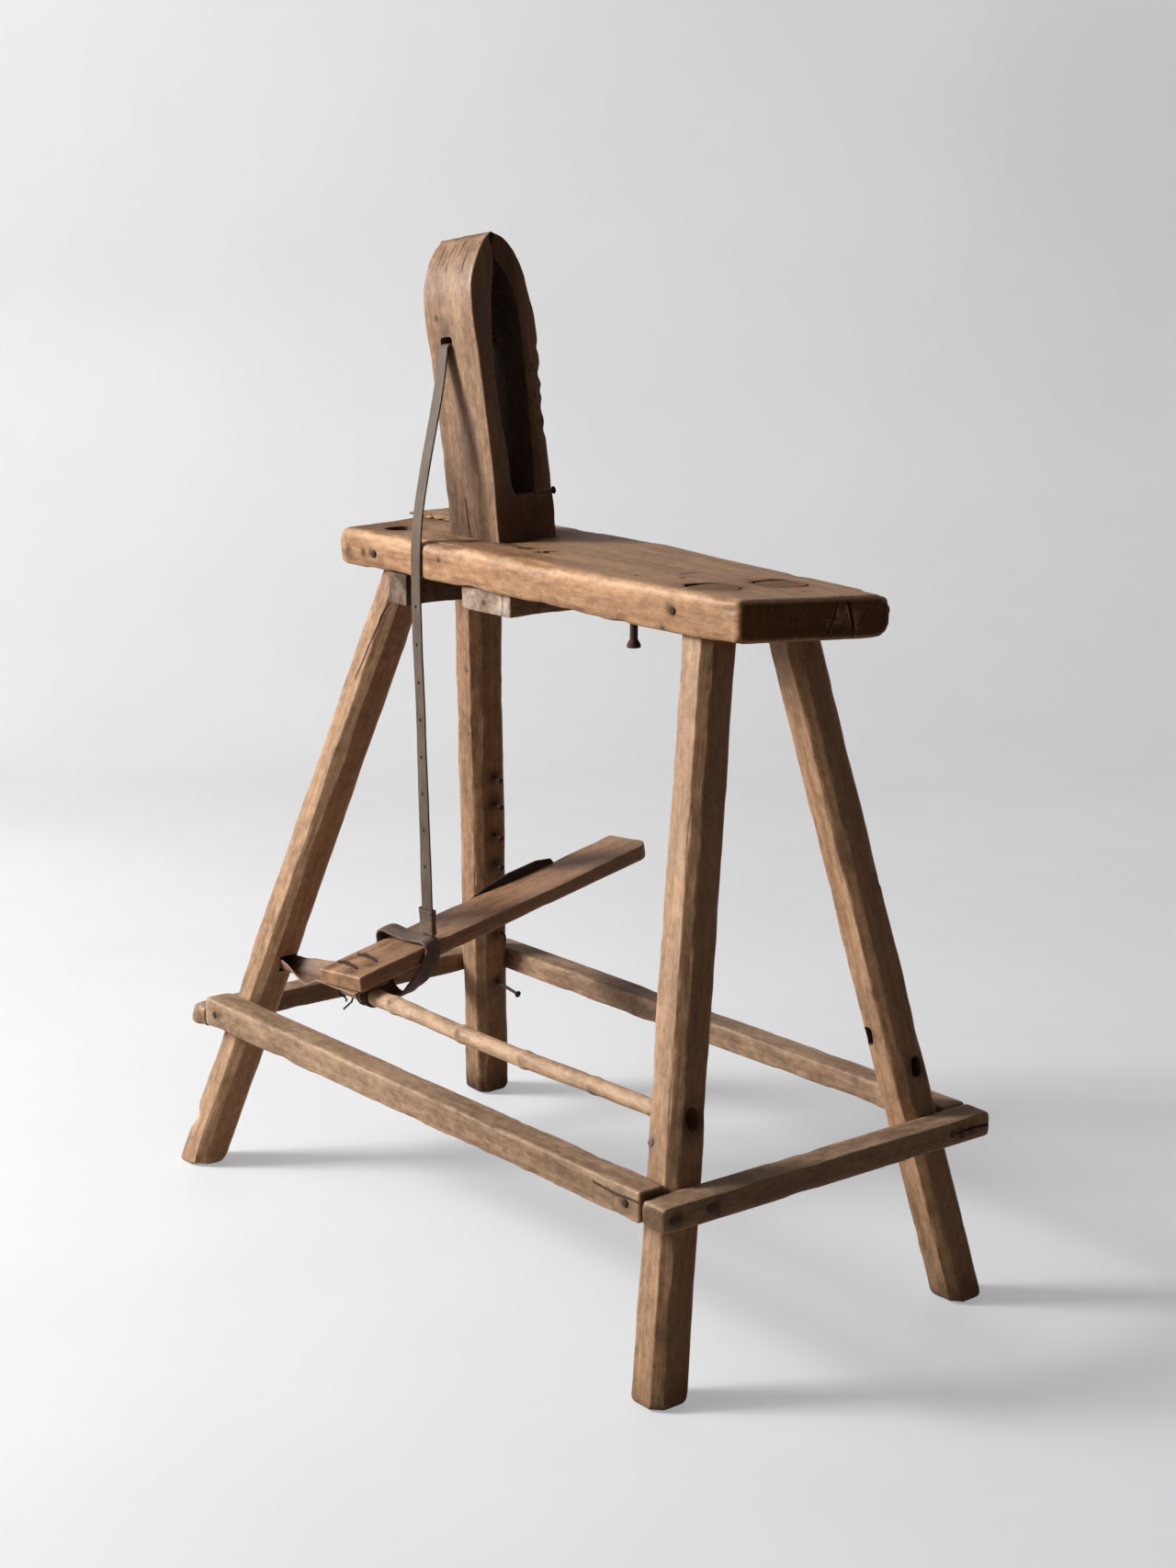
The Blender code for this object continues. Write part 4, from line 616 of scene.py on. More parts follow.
def dress(obj, finish, frame_of, body, node, stains=(), lines=(), offset=0.0, grime_and_shade=0.0, ends=1.0):
    """Stores the values that the finish reads, gives the finish and hands the piece to its body.

    Wear is how far a point stands out from the mean of its neighbours, and dark is how far it lies below it:
    painted shade in hollows, to which stains and lines are added. End grain is where the surface faces along
    the grain. Grime and shade is one share, or a function of the place and the normal, and carries grime and
    painted shade. A stain is a spot with a radius and a strength, and a line has a width and a strength."""
    mesh = obj.data
    count = len(mesh.vertices)
    p = read(mesh.vertices, "co") - SHIFT
    out = read(mesh.vertex_normals, "vector")
    a, b = read(mesh.edges, "vertices", int, 2).T
    links = np.maximum(np.bincount(a, minlength=count) + np.bincount(b, minlength=count), 1)

    def mean(v):
        return (np.bincount(a, v[b], count) + np.bincount(b, v[a], count)) / links

    middle = np.stack([mean(p[:, k]) for k in range(3)], -1)
    reach = np.linalg.norm(p[a] - p[b], axis=1)
    size = (np.bincount(a, reach, count) + np.bincount(b, reach, count)) / links
    bend = mean(mean(((p - middle) * out).sum(1) / np.maximum(size, 0.0016)))
    # Points that lie below their neighbours are darkened: painted shade in hollows and creases.
    dark = np.clip(-bend * 7.0, 0.0, 1.0)
    for spot, radius, strength in stains:
        dark = np.maximum(dark, strength * bowl(p, spot, radius))
    for line, width, strength in lines:
        dark = np.maximum(dark, strength * np.exp(-(near_line(p, line) / width) ** 2))
    origin, axes = frame_of
    values(mesh, "grain", (p - origin) @ axes.T + offset)
    values(mesh, "wear", np.clip(bend * 6.0, 0.0, 1.0))
    values(mesh, "dark", np.clip(dark, 0.0, 1.0))
    values(mesh, "endgrain", ends * ease(np.abs(out @ axes[0]), 0.72, 0.92))
    values(mesh, "grime_and_shade", np.clip(grime_and_shade(p, out) if callable(grime_and_shade) else np.full(count, grime_and_shade), 0.0, 1.0))
    mesh.materials.clear()
    mesh.materials.append(FINISH[finish])
    if body:
        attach(obj, body)
    if node:
        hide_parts(node)
    print(obj.name, len(mesh.polygons), "faces")


# %% [markdown]
# ## Legs
# Each leg is a square stick with its four corners planed off, splayed outwards, and its top passes through
# the plank. The chamfers were cut by eye, so their width wanders. The foot is rounded by years on the floor.

# %% Legs
LEG_HALF, CHAMFER, UNDER_Z, TOP_Z = 0.023, 0.0098, 0.708, 0.7487
NEAR_Y, SEAT_X, CLAMP_X = -0.075, 0.342, -0.338
# Middle of the foot, middle of the head under the plank, how far the top stays below the plank's top.
LEGS = {
    "leg_clamp_near": ((-0.444, -0.2078), (-0.255, -0.033), 0.015),
    "leg_clamp_far": ((-0.444, 0.2078), (-0.255, 0.062), 0.001),
    "leg_seat_near": ((0.3825, -0.2011), (0.256, -0.036), 0.0012),
    "leg_seat_far": ((0.3825, 0.2011), (0.256, 0.066), 0.0012),
}
A, D, B, C = LEGS


def wind(x):
    """The plank's twist as a slope across its width: 0 up to the middle, then growing to the seat end."""
    return math.tan(math.radians(4.0)) * np.clip(np.asarray(x) / SEAT_X, 0.0, 1.0)


def leg_at(name, z):
    """The middle of a leg at a height: a straight line from the foot's middle to the head's."""
    foot, head, _ = LEGS[name]
    t = np.asarray(z, float) / UNDER_Z
    return np.stack([foot[0] + (head[0] - foot[0]) * t, foot[1] + (head[1] - foot[1]) * t, z + 0.0 * t], -1)


def leg_face(name, z, side, offset=0.0):
    """A point on a leg's face at a height. Side is 'x' or '-y', and offset slides it along the face."""
    shift = {"x": (LEG_HALF, offset, 0.0), "-y": (offset, -LEG_HALF, 0.0)}
    return leg_at(name, z) + np.array(shift[side])


def make_leg(name, seed, hurts=()):
    """A chamfered square swept up a leaning line; the chamfer's width follows a slow noise."""
    foot, _, recess = LEGS[name]
    centre = leg_at(name, TOP_Z)
    top = TOP_Z - wind(centre[0]) * (centre[1] - NEAR_Y) - recess
    z, inset = stations(float(top), 0.008, 0.001, 250)
    h = LEG_HALF - inset
    place = np.stack([z * 14.0, np.full_like(z, seed), np.zeros_like(z)], -1)
    cuts = [CHAMFER + 0.002 * rough(place + (0.0, 3.7 * k, 0.0), seed)
            + 0.0006 * noise(place * (5.0, 1.0, 1.0) + 3.7 * k, seed) for k in range(4)]
    corner = []
    for (sx, sy), c in zip(SQUARE, cuts):
        pair = [np.stack([sx * h, sy * (h - c)], -1), np.stack([sx * (h - c), sy * h], -1)]
        corner += pair if sx * sy > 0 else pair[::-1]
    ring = outline(np.stack(corner, 1), np.full(8, 0.0008), (9,) * 8, 3)
    rows = close_ends(sweep(leg_at(name, z), X, Y, ring))
    about = frame_for((*foot, 0.0), leg_at(name, 1.0) - leg_at(name, 0.0), X)
    rows = aged(rows, about, seed, 0.0009, 0.00016, 30, 0.0012, hurts)
    rows[..., 2] = np.maximum(rows[..., 2], 0.0)
    return skin(name + "_worn", rows), about


def darker_near_floor(p, out):
    """Darker towards the floor, fading upwards."""
    z = np.maximum(p[:, 2], 0.0)
    return 0.75 * np.exp(-z / 0.022) + 0.22 * np.exp(-z / 0.12)


def far_leg_shade(p, out):
    """Darker towards the floor, on a leg painted a little darker all over: painted shade on the far clamp end
    leg, which stands back in the shade.
    """
    return 0.2 + darker_near_floor(p, out)


def near_leg_grime_and_shade(p, out):
    """Grime and painted shade on the side that looks to the near long side of the bench, the side that the
    lamps light.
    """
    return 0.42 * ease(-out[:, 1], 0.5, 0.9)


print("legs", list(LEGS))

# %% [markdown]
# The near clamp end leg holds the end of the treadle's leather in a trough, and has a long split and two
# broken places. The far clamp end leg carries the row of nails, each with a dark ring of rust.

# %% Clamp end legs
LEATHER_Z = 0.2425
leg, about = make_leg(A, 11, [(leg_at(A, 0.058) - (0.018, 0.018, 0.0), 0.011, 0.006),
                              (leg_at(A, 0.004) + (0.018, -0.018, 0.0), 0.012, 0.0045)])
trough = (leg_face(A, LEATHER_Z, "x")[0] - 0.004, -0.137, 0.25)
carve(leg, plug(trough, X, Y, Z, (0.024, 0.0132), 0.003, 0.0095))
split = [leg_face(A, 0.685, "-y", 0.0165), leg_face(A, 0.585, "-y", 0.0045)]
carve(leg, blade(split, X, Y, 0.0016, 0.008))
dress(leg, "near_leg_wood_painted_light", about, "frame", A, lines=[(split, 0.0016, 1.0)], offset=0.3,
      grime_and_shade=near_leg_grime_and_shade)

leg, about = make_leg(D, 23)
dress(leg, "leg_wood", about, "frame", D, offset=1.1, grime_and_shade=far_leg_shade, ends=0.4,
      stains=[(leg_face(D, z, "x"), 0.01, 0.75) for z in (0.441, 0.406, 0.365, 0.326, 0.229, 0.163)])

# %% [markdown]
# The near seat end leg has the slot in which the treadle's rod turns. The far one has two old empty slots and
# a notch. Each hole and its rim are painted near black: painted shade inside the holes.

# %% Seat end legs
leg, about = make_leg(B, 37)
carve(leg, plug((0.335, -0.142, 0.262), Y, Z, X, (0.0075, 0.0115), 0.0068, 0.06))
# The rod's slot and its rim are painted near black: painted shade inside the slot.
dress(leg, "leg_wood", about, "frame", B, offset=2.3, grime_and_shade=darker_near_floor, ends=0.8,
      stains=[((0.362, -0.142, 0.262), 0.017, 1.0), (leg_face(B, 0.237, "-y", -0.01), 0.008, 0.5)])

leg, about = make_leg(C, 41)
slot_1, slot_2 = leg_face(C, 0.281, "-y", -0.01), leg_face(C, 0.252, "x", 0.002)
notch = leg_face(C, 0.444, "x", LEG_HALF)
carve(leg, plug(slot_1, X, Z, Y, (0.0058, 0.01), 0.005, 0.012),
      plug(slot_2, Y, Z, X, (0.006, 0.0105), 0.005, 0.012),
      plug(notch, X, Y, Z, (0.0095, 0.0095), 0.003, 0.0085))
# The two old slots and the notch are painted near black: painted shade inside them.
dress(leg, "leg_wood", about, "frame", C, offset=3.7, grime_and_shade=darker_near_floor, ends=0.8,
      stains=[(slot_1, 0.011, 0.95), (slot_2, 0.012, 0.95), (notch, 0.013, 0.95)])

# %% [markdown]
# ## Seat plank
# The seat is one thick slab, worn round along its edges where legs rubbed it, slightly twisted towards the
# seat end and cut askew at the clamp end. It is a rounded rectangle swept along the bench, then the leg
# tenons' holes, the clamp's seat and an old empty hole are cut out of it.

# %% Plank and clamp frame
CLAMP_AT = np.array((-0.157, 0.025, 0.748))
U = np.array((0.99098, 0.0, 0.13399))
W = np.array((-0.007, 0.9986, 0.0518))
H = np.array((-0.1338, -0.0523, 0.9896))
OLD_HOLE = np.array((-0.274, -0.028, TOP_Z))


def clamp_point(u, w, h):
    """A point of the clamp's own frame: u across the jaws, w the way they open, h up."""
    u, w, h = (np.asarray(v, float)[..., None] for v in (u, w, h))
    return CLAMP_AT + u * U + w * W + h * H


def make_plank():
    """A rounded rectangle swept along X: the far side tapers, one end is skewed, the other twisted."""
    s, inset = stations(SEAT_X - CLAMP_X, 0.021, 0.0085, 290)
    x = CLAMP_X + s
    far = 0.135 + (0.126 - 0.135) * s / (SEAT_X - CLAMP_X)
    far = far + 0.0025 * rough(np.stack([x * 9.0, x * 0, x * 0], -1), 4) - 0.0015
    sag = 0.0016 * np.exp(-((x - 0.1) / 0.16) ** 2)
    under = -0.0407 - 0.0035 * ease(x, -0.05, 0.15) + 0.0015 * ease(x, 0.27, 0.34)
    corners = slab_corners(NEAR_Y, far, under, -sag, inset)[:, [1, 2, 3, 0]]
    radii = np.stack([np.full_like(x, 0.009), np.full_like(x, 0.0088), np.full_like(x, 0.006),
                      0.0065 + 0.015 * ease(x, 0.1, 0.33)], -1)
    ring = outline(corners, radii - 0.35 * inset[:, None], (84, 13, 84, 13), 5)
    rows = close_ends(sweep(np.stack([x, 0 * x, 0 * x + TOP_Z], -1), Y, Z, ring))
    across = rows[..., 1] - NEAR_Y
    rows[..., 2] -= wind(rows[..., 0]) * across
    rows[..., 0] -= 0.22 * np.clip(rows[..., 0] / CLAMP_X, 0.0, 1.0) * across
    about = frame_for((0.0, 0.0, TOP_Z), X, Y)
    return skin("seat_plank_worn", aged(rows, about, 53, 0.0012, 0.00016, 60, 0.0028)), about


def octagon(h, k):
    """A chamfered square: half width h, half of each straight side k."""
    return np.array([(h, -k), (h, k), (k, h), (-k, h), (-h, k), (-h, -k), (-k, -h), (k, -h)])


def tenon_room(name, grow):
    """The leg's own chamfered outline, a little larger, as a cutter through the plank."""
    ring = outline(octagon(LEG_HALF + grow, LEG_HALF - 0.008), np.full(8, 0.004), (3,) * 8, 4)
    rows = sweep(leg_at(name, np.linspace(0.66, 0.8, 40)), X, Y, ring)
    rows[..., :2] += 0.0006 * np.stack([noise(rows * 160.0, 8), noise(rows * 160.0, 9)], -1)
    return skin("tenon_room", rows)


plank, plank_about = make_plank()
carve(plank, plug(OLD_HOLE, X, Y, Z, (0.017, 0.018), 0.0165, 0.022),
      tenon_room(B, 0.0012), tenon_room(C, 0.0012), tenon_room(D, 0.0008),
      plug(clamp_point(0.0, 0.001, 0.0), U, W, H, (0.0462, 0.0415), 0.002, 0.03))
print("plank", len(plank.data.polygons), "faces")

# %% [markdown]
# The seat end is split by the weather, and the top is chipped and gouged round the clamp. All of them are
# blades cut out of the slab, with dark lines painted along them. Small stains mark nails and old knocks.

# %% Splits and marks of the plank


def on_top(*points):
    """Places on the plank's flat top."""
    return [(x, y, TOP_Z) for x, y in points]


crack = [(SEAT_X, 0.056, 0.743), (SEAT_X, 0.0655, 0.737), (SEAT_X, 0.069, 0.72), (SEAT_X, 0.0721, 0.69)]
side_crack = [(SEAT_X, 0.0515, 0.74), (SEAT_X, 0.044, 0.718), (SEAT_X, 0.0308, 0.696)]
top_crack = [(SEAT_X - 0.002, 0.057, 0.742), (SEAT_X - 0.03, 0.052, 0.7415),
             (SEAT_X - 0.07, 0.05, 0.7418)]
carve(plank, blade(crack, Y, X, 0.0042, 0.024), blade(side_crack, Y, X, 0.0022, 0.014),
      blade(top_crack, Y, Z, 0.002, 0.006))
gouges = [(on_top((-0.1442, -0.0402), (-0.1368, -0.0241)), 0.0035),
          (on_top((-0.0311, -0.0249), (-0.0254, -0.008)), 0.005),
          (on_top((-0.1085, -0.013), (-0.106, 0.032)), 0.007),
          ([(0.164, 0.005, 0.7465), (0.156, 0.03, 0.745)], 0.0022)]
carve(plank, *[blade(line, X, Z, wide * 1.3, 0.006) for line, wide in gouges])
chips = [on_top((-0.069, -0.0185), (-0.052, -0.0165)), on_top((-0.0345, -0.0225), (-0.0215, -0.0195))]
carve(plank, *[blade(line, Y, Z, 0.008, 0.005) for line in chips])
marks = [((x, NEAR_Y, z), radius, strength) for x, z, radius, strength in (
    (-0.3102, 0.7255, 0.0055, 0.8), (-0.2811, 0.7256, 0.005, 0.9), (-0.2666, 0.7272, 0.0045, 0.9),
    (-0.1382, 0.7325, 0.003, 1.0), (0.242, 0.7282, 0.008, 0.7), (0.23, 0.708, 0.004, 0.9))]
marks += [((x, y, TOP_Z), radius, strength) for x, y, radius, strength in (
    (-0.1105, -0.0007, 0.006, 0.8), (-0.0271, -0.0095, 0.005, 0.8), (-0.06, -0.012, 0.005, 0.7),
    (-0.095, -0.012, 0.008, 1.0), (-0.076, -0.016, 0.0055, 0.9))]
marks += [((0.15, -0.04, 0.748), 0.004, 0.7), ((0.185, -0.01, 0.7455), 0.005, 0.8),
          ((0.2195, 0.115, 0.738), 0.004, 0.9), ((0.3, 0.045, 0.742), 0.005, 0.6),
          ((SEAT_X, 0.0447, 0.7199), 0.004, 1.0)]


def plank_dirt(p, out):
    """Grime round the clamp and the tenons, on the clamp end and along the lower edge."""
    spots = [(CLAMP_AT[:2], 0.075, 0.55), (OLD_HOLE[:2], 0.036, 0.4)]
    spots += [(leg_at(n, TOP_Z)[:2], 0.036, 0.5) for n in (B, C, D)]
    near = [k * np.exp(-(((p[:, :2] - c) ** 2).sum(1) / r ** 2) ** 2) for c, r, k in spots]
    end = 0.75 * (1 - ease(p[:, 0], CLAMP_X - 0.01, CLAMP_X + 0.1))
    low = 0.4 * (1 - ease(p[:, 2], UNDER_Z - 0.002, UNDER_Z + 0.014))
    return np.max(near + [end, low], axis=0)


def rim(name):
    """The line round a tenon where the plank's top meets it: the leg's chamfered square."""
    ring = octagon(LEG_HALF + 0.0008, LEG_HALF - CHAMFER)
    x, y = (leg_at(name, TOP_Z)[:2] + np.concatenate([ring, ring[:1]])).T
    return np.stack([x, y, TOP_Z - wind(x) * (y - NEAR_Y)], -1)


lines = [(crack, 0.002, 1.0), (side_crack, 0.0016, 1.0), (top_crack, 0.0015, 0.9)]
lines += [(line, 0.005, 1.0) for line in chips] + [(line, wide * 0.9, 1.0) for line, wide in gouges]
lines += [(rim(n), 0.0032, 1.0) for n in (B, C, D)]
# The old hole is painted black inside: painted shade in the hole.
lines += [([OLD_HOLE - Z * 0.008, OLD_HOLE - Z * 0.03], 0.022, 1.0)]
dress(plank, "plank_wood", plank_about, "frame", "seat_plank", stains=marks, lines=lines,
      grime_and_shade=plank_dirt)

# %% [markdown]
# ## Floor rails, battens and patch
# Four sticks nailed outside the legs keep the feet apart, and two rough battens lie under the plank. All are
# sawn sticks with worn corners: a rectangle with small rounded corners, swept along a straight line. The
# battens were never planed, so their waves are deeper.

# %% Floor rails


def stick(node, low, high, along, finish, slot, seed, radius=0.003, end=0.0045, wave=0.0008,
          splits=(), stains=(), ends=0.8, grime_and_shade=0.0, hurts=()):
    """A straight stick between two corners of a box: a rounded rectangle swept along one axis.

    Each split is a line, the two directions of its blade, its width and its depth."""
    low, high = np.array(low), np.array(high)
    first, second = (k for k in range(3) if k != along)
    length = high[along] - low[along]
    s, inset = stations(length, end, end, max(24, int(length / 0.0032)))
    path = np.tile((low + high) / 2, (len(s), 1))
    path[:, along] = low[along] + s
    half = (high - low) / 2
    axes = np.eye(3)
    corners = slab_corners(-half[first], half[first], -half[second], half[second], inset)
    edges = [max(4, int(2 * half[k] / 0.003)) for k in (second, first, second, first)]
    ring = outline(corners, np.full(4, radius) - 0.3 * inset[:, None], edges, 4)
    rows = close_ends(sweep(path, axes[first], axes[second], ring))
    about = frame_for(low, axes[along], axes[first])
    rows = aged(rows, about, seed, wave, 0.00016, max(8, int(length * 36)), 0.0015, hurts)
    obj = skin(node + "_worn", rows)
    if splits:
        carve(obj, *[blade(*split) for split in splits])
    dress(obj, finish, about, "frame", node, stains, [(split[0], 0.0016, 1.0) for split in splits],
          seed * 0.173, grime_and_shade, ends)


RAIL_Y, END_X = -0.215, 0.4035
stick("rail_near", (-0.4145, RAIL_Y, 0.177), (0.3695, -0.181, 0.209), 0, "rail_wood", "rail_wood", 61,
      stains=[((x, RAIL_Y, 0.193), 0.007, 0.7) for x in (-0.385, 0.348)],
      splits=[([(0.372, RAIL_Y, 0.199), (0.335, RAIL_Y, 0.1975), (0.3, RAIL_Y, 0.1995)],
               Z, Y, 0.0016, 0.006)])
stick("rail_far", (-0.4145, 0.1885, 0.177), (0.3695, 0.2195, 0.203), 0, "rail_wood", "rail_wood", 67)
stick("rail_clamp_end", (-0.4465, -0.2165, 0.171), (-0.4155, 0.2195, 0.195), 1, "rail_wood", "rail_wood", 71,
      ends=0.2, hurts=[((-0.447, -0.218, 0.196), 0.012, 0.005), ((-0.42, -0.218, 0.172), 0.01, 0.004)],
      splits=[([(-0.431, -0.218, 0.194), (-0.4325, -0.205, 0.19), (-0.43, -0.19, 0.192)],
               X, Z, 0.0018, 0.008)])
stick("rail_seat_end", (0.3705, -0.2145, 0.177), (END_X, 0.2205, 0.202), 1, "rail_wood", "rail_wood", 73,
      stains=[((END_X, y, 0.19), 0.007, 0.65) for y in (-0.196, -0.15, 0.176, 0.192)],
      splits=[([(END_X, 0.222, 0.188), (END_X, 0.195, 0.1905), (END_X, 0.165, 0.189)], Z, X, 0.002, 0.007)])

# %% Battens and patch
SAWN = {"radius": 0.002, "end": 0.0015, "wave": 0.001, "ends": 0.15}
BATTEN_Y, PATCH_Z = -0.0645, 0.754


def edge_dirt(p, out):
    """Grime on every side that does not look up."""
    return 0.55 * (1 - ease(out @ Z, 0.2, 0.8))


# The clamp end batten is painted darker all over: painted shade under the plank.
stick("batten_clamp_end", (-0.24, -0.07, 0.6742), (-0.206, 0.102, 0.7077), 1, "grey_wood", "grey_wood", 79,
      grime_and_shade=0.75, **SAWN)
stick("batten_middle", (-0.112, -0.064, 0.6837), (-0.026, 0.102, 0.7077), 1, "grey_wood", "grey_wood", 83,
      stains=[((-0.072, -0.064, 0.6945), 0.003, 1.0)],
      splits=[([(-0.0405, BATTEN_Y, 0.709), (-0.039, BATTEN_Y, 0.696), (-0.0405, BATTEN_Y, 0.683)],
               X, Y, 0.0016, 0.016)], **SAWN)
stick("plank_patch", (-0.364, 0.044, 0.7488), (-0.22, 0.124, 0.7535), 0, "plank_wood", "grey_wood", 89,
      radius=0.0015, end=0.0015, wave=0.0007, grime_and_shade=edge_dirt, stains=[((-0.3, 0.076, 0.7535), 0.005, 0.8)],
      hurts=[((x, 0.0425, 0.751), size, deep) for x, size, deep in (
          (-0.351, 0.01, 0.0035), (-0.329, 0.013, 0.0045), (-0.297, 0.009, 0.003),
          (-0.272, 0.015, 0.005), (-0.236, 0.011, 0.004))],
      splits=[([(-0.366, 0.06, PATCH_Z), (-0.33, 0.057, PATCH_Z), (-0.29, 0.061, PATCH_Z)],
               Y, Z, 0.002, 0.0018)])

# %% [markdown]
# ## Jaws
# The clamp is two carved jaws that meet in a pointed mouth. Seen from the side each is a curved strip, so
# each is built from rows at rising heights: a rounded rectangle whose front and back follow the jaw's two
# side curves. The curves are smooth lines through a few points.

# %% Jaw curves
JAW_HALF, STRAP_U, JAW_TOP = 0.045, -0.01, 0.322
FIXED_FOOT, FIXED_LEDGE, MOVING_FOOT = -0.028, 0.043, 0.0433
# Each curve is (the way the jaws open, height).
FIXED_OUT = [(-0.0395, FIXED_FOOT), (-0.039, 0.01), (-0.036, 0.06), (-0.0345, 0.13), (-0.0345, 0.2),
             (-0.035, 0.245), (-0.032, 0.27), (-0.025, 0.29), (-0.014, 0.308), (-0.003, 0.3195),
             (0.0005, JAW_TOP)]
FIXED_IN = [(-0.008, FIXED_LEDGE), (-0.011, 0.05), (-0.012, 0.083), (-0.015, 0.144), (-0.013, 0.208),
            (-0.006, 0.258), (0.0018, 0.291), (0.0018, JAW_TOP)]
MOVING_IN = [(0.0155, MOVING_FOOT), (0.019, 0.075), (0.022, 0.127), (0.024, 0.178), (0.024, 0.225),
             (0.02, 0.261), (0.012, 0.28), (0.0024, 0.292), (0.0024, JAW_TOP)]
MOVING_OUT = [(0.041, MOVING_FOOT), (0.041, 0.095), (0.044, 0.14), (0.0455, 0.18), (0.0465, 0.215),
              (0.0455, 0.242), (0.041, 0.268), (0.033, 0.293), (0.022, 0.311), (0.01, 0.3195),
              (0.0036, JAW_TOP)]
# Rows lie close together towards the mouth, where the curves turn fast.
RISE = np.concatenate([np.linspace(0.0, 0.84, 116), 0.84 + 0.16 * np.sin(np.linspace(0, np.pi / 2, 40))[1:]])


def side_curve(points, h):
    """The side curve through a few points, read at heights."""
    w, at = np.array(points).T
    return through(at, w, h)[:, 0]


def make_jaw(name, h, front, back, seed, worn, hurts=()):
    """Rows at heights h: w from the front curve to the back curve, u across the jaw, corners rounded."""
    soft, hard = (np.minimum(radius, 0.42 * (back - front)) for radius in (worn, 0.0022))
    corners = slab_corners(front, back, -JAW_HALF, JAW_HALF, 0 * h)
    ring = outline(corners, np.stack([hard, hard, soft, soft], -1), (40, 14, 40, 14), 5)
    rows = close_ends(sweep(clamp_point(0 * h, 0 * h, h), W, U, ring))
    about = frame_for(CLAMP_AT, H, U)
    return skin(name, aged(rows, about, seed, 0.0009, 0.00014, 26, 0.0014, hurts)), about


def strap_slot(w):
    """An oval plug through a jaw where the strap passes."""
    return plug(clamp_point(STRAP_U, w, 0.214), U, H, W, (0.0104, 0.005), 0.0047, 0.034)


def clamp_parts(p):
    """The clamp's own coordinates of points: across, the way the jaws open, and up."""
    return (p - CLAMP_AT) @ U, (p - CLAMP_AT) @ W, (p - CLAMP_AT) @ H


print("jaw rows", len(RISE))

# %% [markdown]
# The fixed jaw and its base are one block: the base goes down into the plank, and the ledge that the moving
# jaw stands on is the row where the back steps in. Its throat is painted near black: painted shade between
# the jaws.

# %% Fixed jaw
base_h = np.linspace(FIXED_FOOT, FIXED_LEDGE - 0.001, 34)
rise_h = FIXED_LEDGE + (JAW_TOP - FIXED_LEDGE) * RISE
h = np.concatenate([base_h, rise_h])
base_back = 0.0397 + 0.0013 * (base_h - FIXED_FOOT) / (FIXED_LEDGE - FIXED_FOOT)
back = np.concatenate([base_back, side_curve(FIXED_IN, rise_h)])
jaw, about = make_jaw("fixed_jaw_worn", h, side_curve(FIXED_OUT, h), back, 97, 0.0034)
carve(jaw, strap_slot(-0.03))
base_crack = [clamp_point(*p) for p in (
    (-0.005, -0.04, 0.004), (-0.0068, -0.0385, 0.02), (-0.0085, -0.0375, 0.046))]
tops = [[clamp_point(u, w, h0), clamp_point(u + 0.002, w2, h1)] for u, h0, h1, w, w2 in (
    (-0.024, 0.296, 0.316, -0.0215, -0.0085), (-0.006, 0.288, 0.314, -0.0265, -0.01),
    (0.01, 0.3, 0.317, -0.019, -0.007), (0.024, 0.284, 0.306, -0.028, -0.016))]
carve(jaw, blade(base_crack, U, W, 0.0014, 0.006), *[blade(t, U, W, 0.001, 0.004) for t in tops])


def fixed_jaw_shade_and_dirt(p, out):
    """Painted shade, near black, inside the throat and on the ledge, and on the side away from the lamps,
    most on the base; the lower front is darker towards the bottom, but not at the right edge, which is kept
    light as a rubbed edge with a painted highlight.
    """
    u, w, h = clamp_parts(p)
    inside = ease(out @ W, 0.1, 0.6) * (h > 0.036) + ease(out @ H, 0.5, 0.9) * (h > 0.036) * (h < 0.06)
    front = ease(-out @ W, 0.3, 0.8) * (0.8 - 0.8 * ease(h, 0.0, 0.2)) * (1 - 0.95 * ease(u, 0.012, 0.036))
    side = ease(out @ U, 0.3, 0.8) * (0.3 + 0.45 * (1 - ease(h, 0.02, 0.07)))
    return np.max([inside, front, side], axis=0)


dress(jaw, "jaw_wood", about, "frame", "fixed_jaw", offset=0.9, grime_and_shade=fixed_jaw_shade_and_dirt,
      stains=[(clamp_point(STRAP_U, -0.036, 0.214), 0.016, 0.75),
              (clamp_point(-0.022, -0.035, 0.24), 0.004, 0.8)],
      lines=[(base_crack, 0.0014, 1.0)] + [(t, 0.0012, 0.8) for t in tops])

# %% [markdown]
# The moving jaw stands behind it. Its outer edge is chipped, and worms have left a scatter of small holes on
# the side that shows; the holes are not cut but painted as dark spots: painted shade of the holes.

# %% Moving jaw
h = MOVING_FOOT + (JAW_TOP - MOVING_FOOT) * RISE
broken = [(clamp_point(JAW_HALF, w, at), size, deep) for w, at, size, deep in (
    (0.045, 0.168, 0.0065, 0.003), (0.0445, 0.15, 0.005, 0.0024), (0.044, 0.132, 0.008, 0.003),
    (0.043, 0.108, 0.006, 0.0022), (0.0462, 0.196, 0.005, 0.0018))]
jaw, about = make_jaw("moving_jaw_worn", h, side_curve(MOVING_IN, h), side_curve(MOVING_OUT, h), 101, 0.003,
                      broken)
carve(jaw, strap_slot(0.04))
worms = np.random.default_rng(5)
holes = [(clamp_point(JAW_HALF, worms.uniform(0.026, 0.044), worms.uniform(0.115, 0.18)), 0.0022, 0.9)
         for _ in range(16)]


def moving_jaw_painted_shade(p, out):
    """Painted shade: near black on the throat's face, and on the side face away from the lamps, darker
    towards the throat.
    """
    u, w, h = clamp_parts(p)
    side = ease(out @ U, 0.3, 0.8) * (0.15 + 0.55 * (1 - ease(w, 0.022, 0.042)))
    return np.maximum(ease(-out @ W, 0.1, 0.5), side)


dress(jaw, "jaw_wood", about, "moving_jaw_body", "moving_jaw", stains=holes, offset=1.7,
      grime_and_shade=moving_jaw_painted_shade)

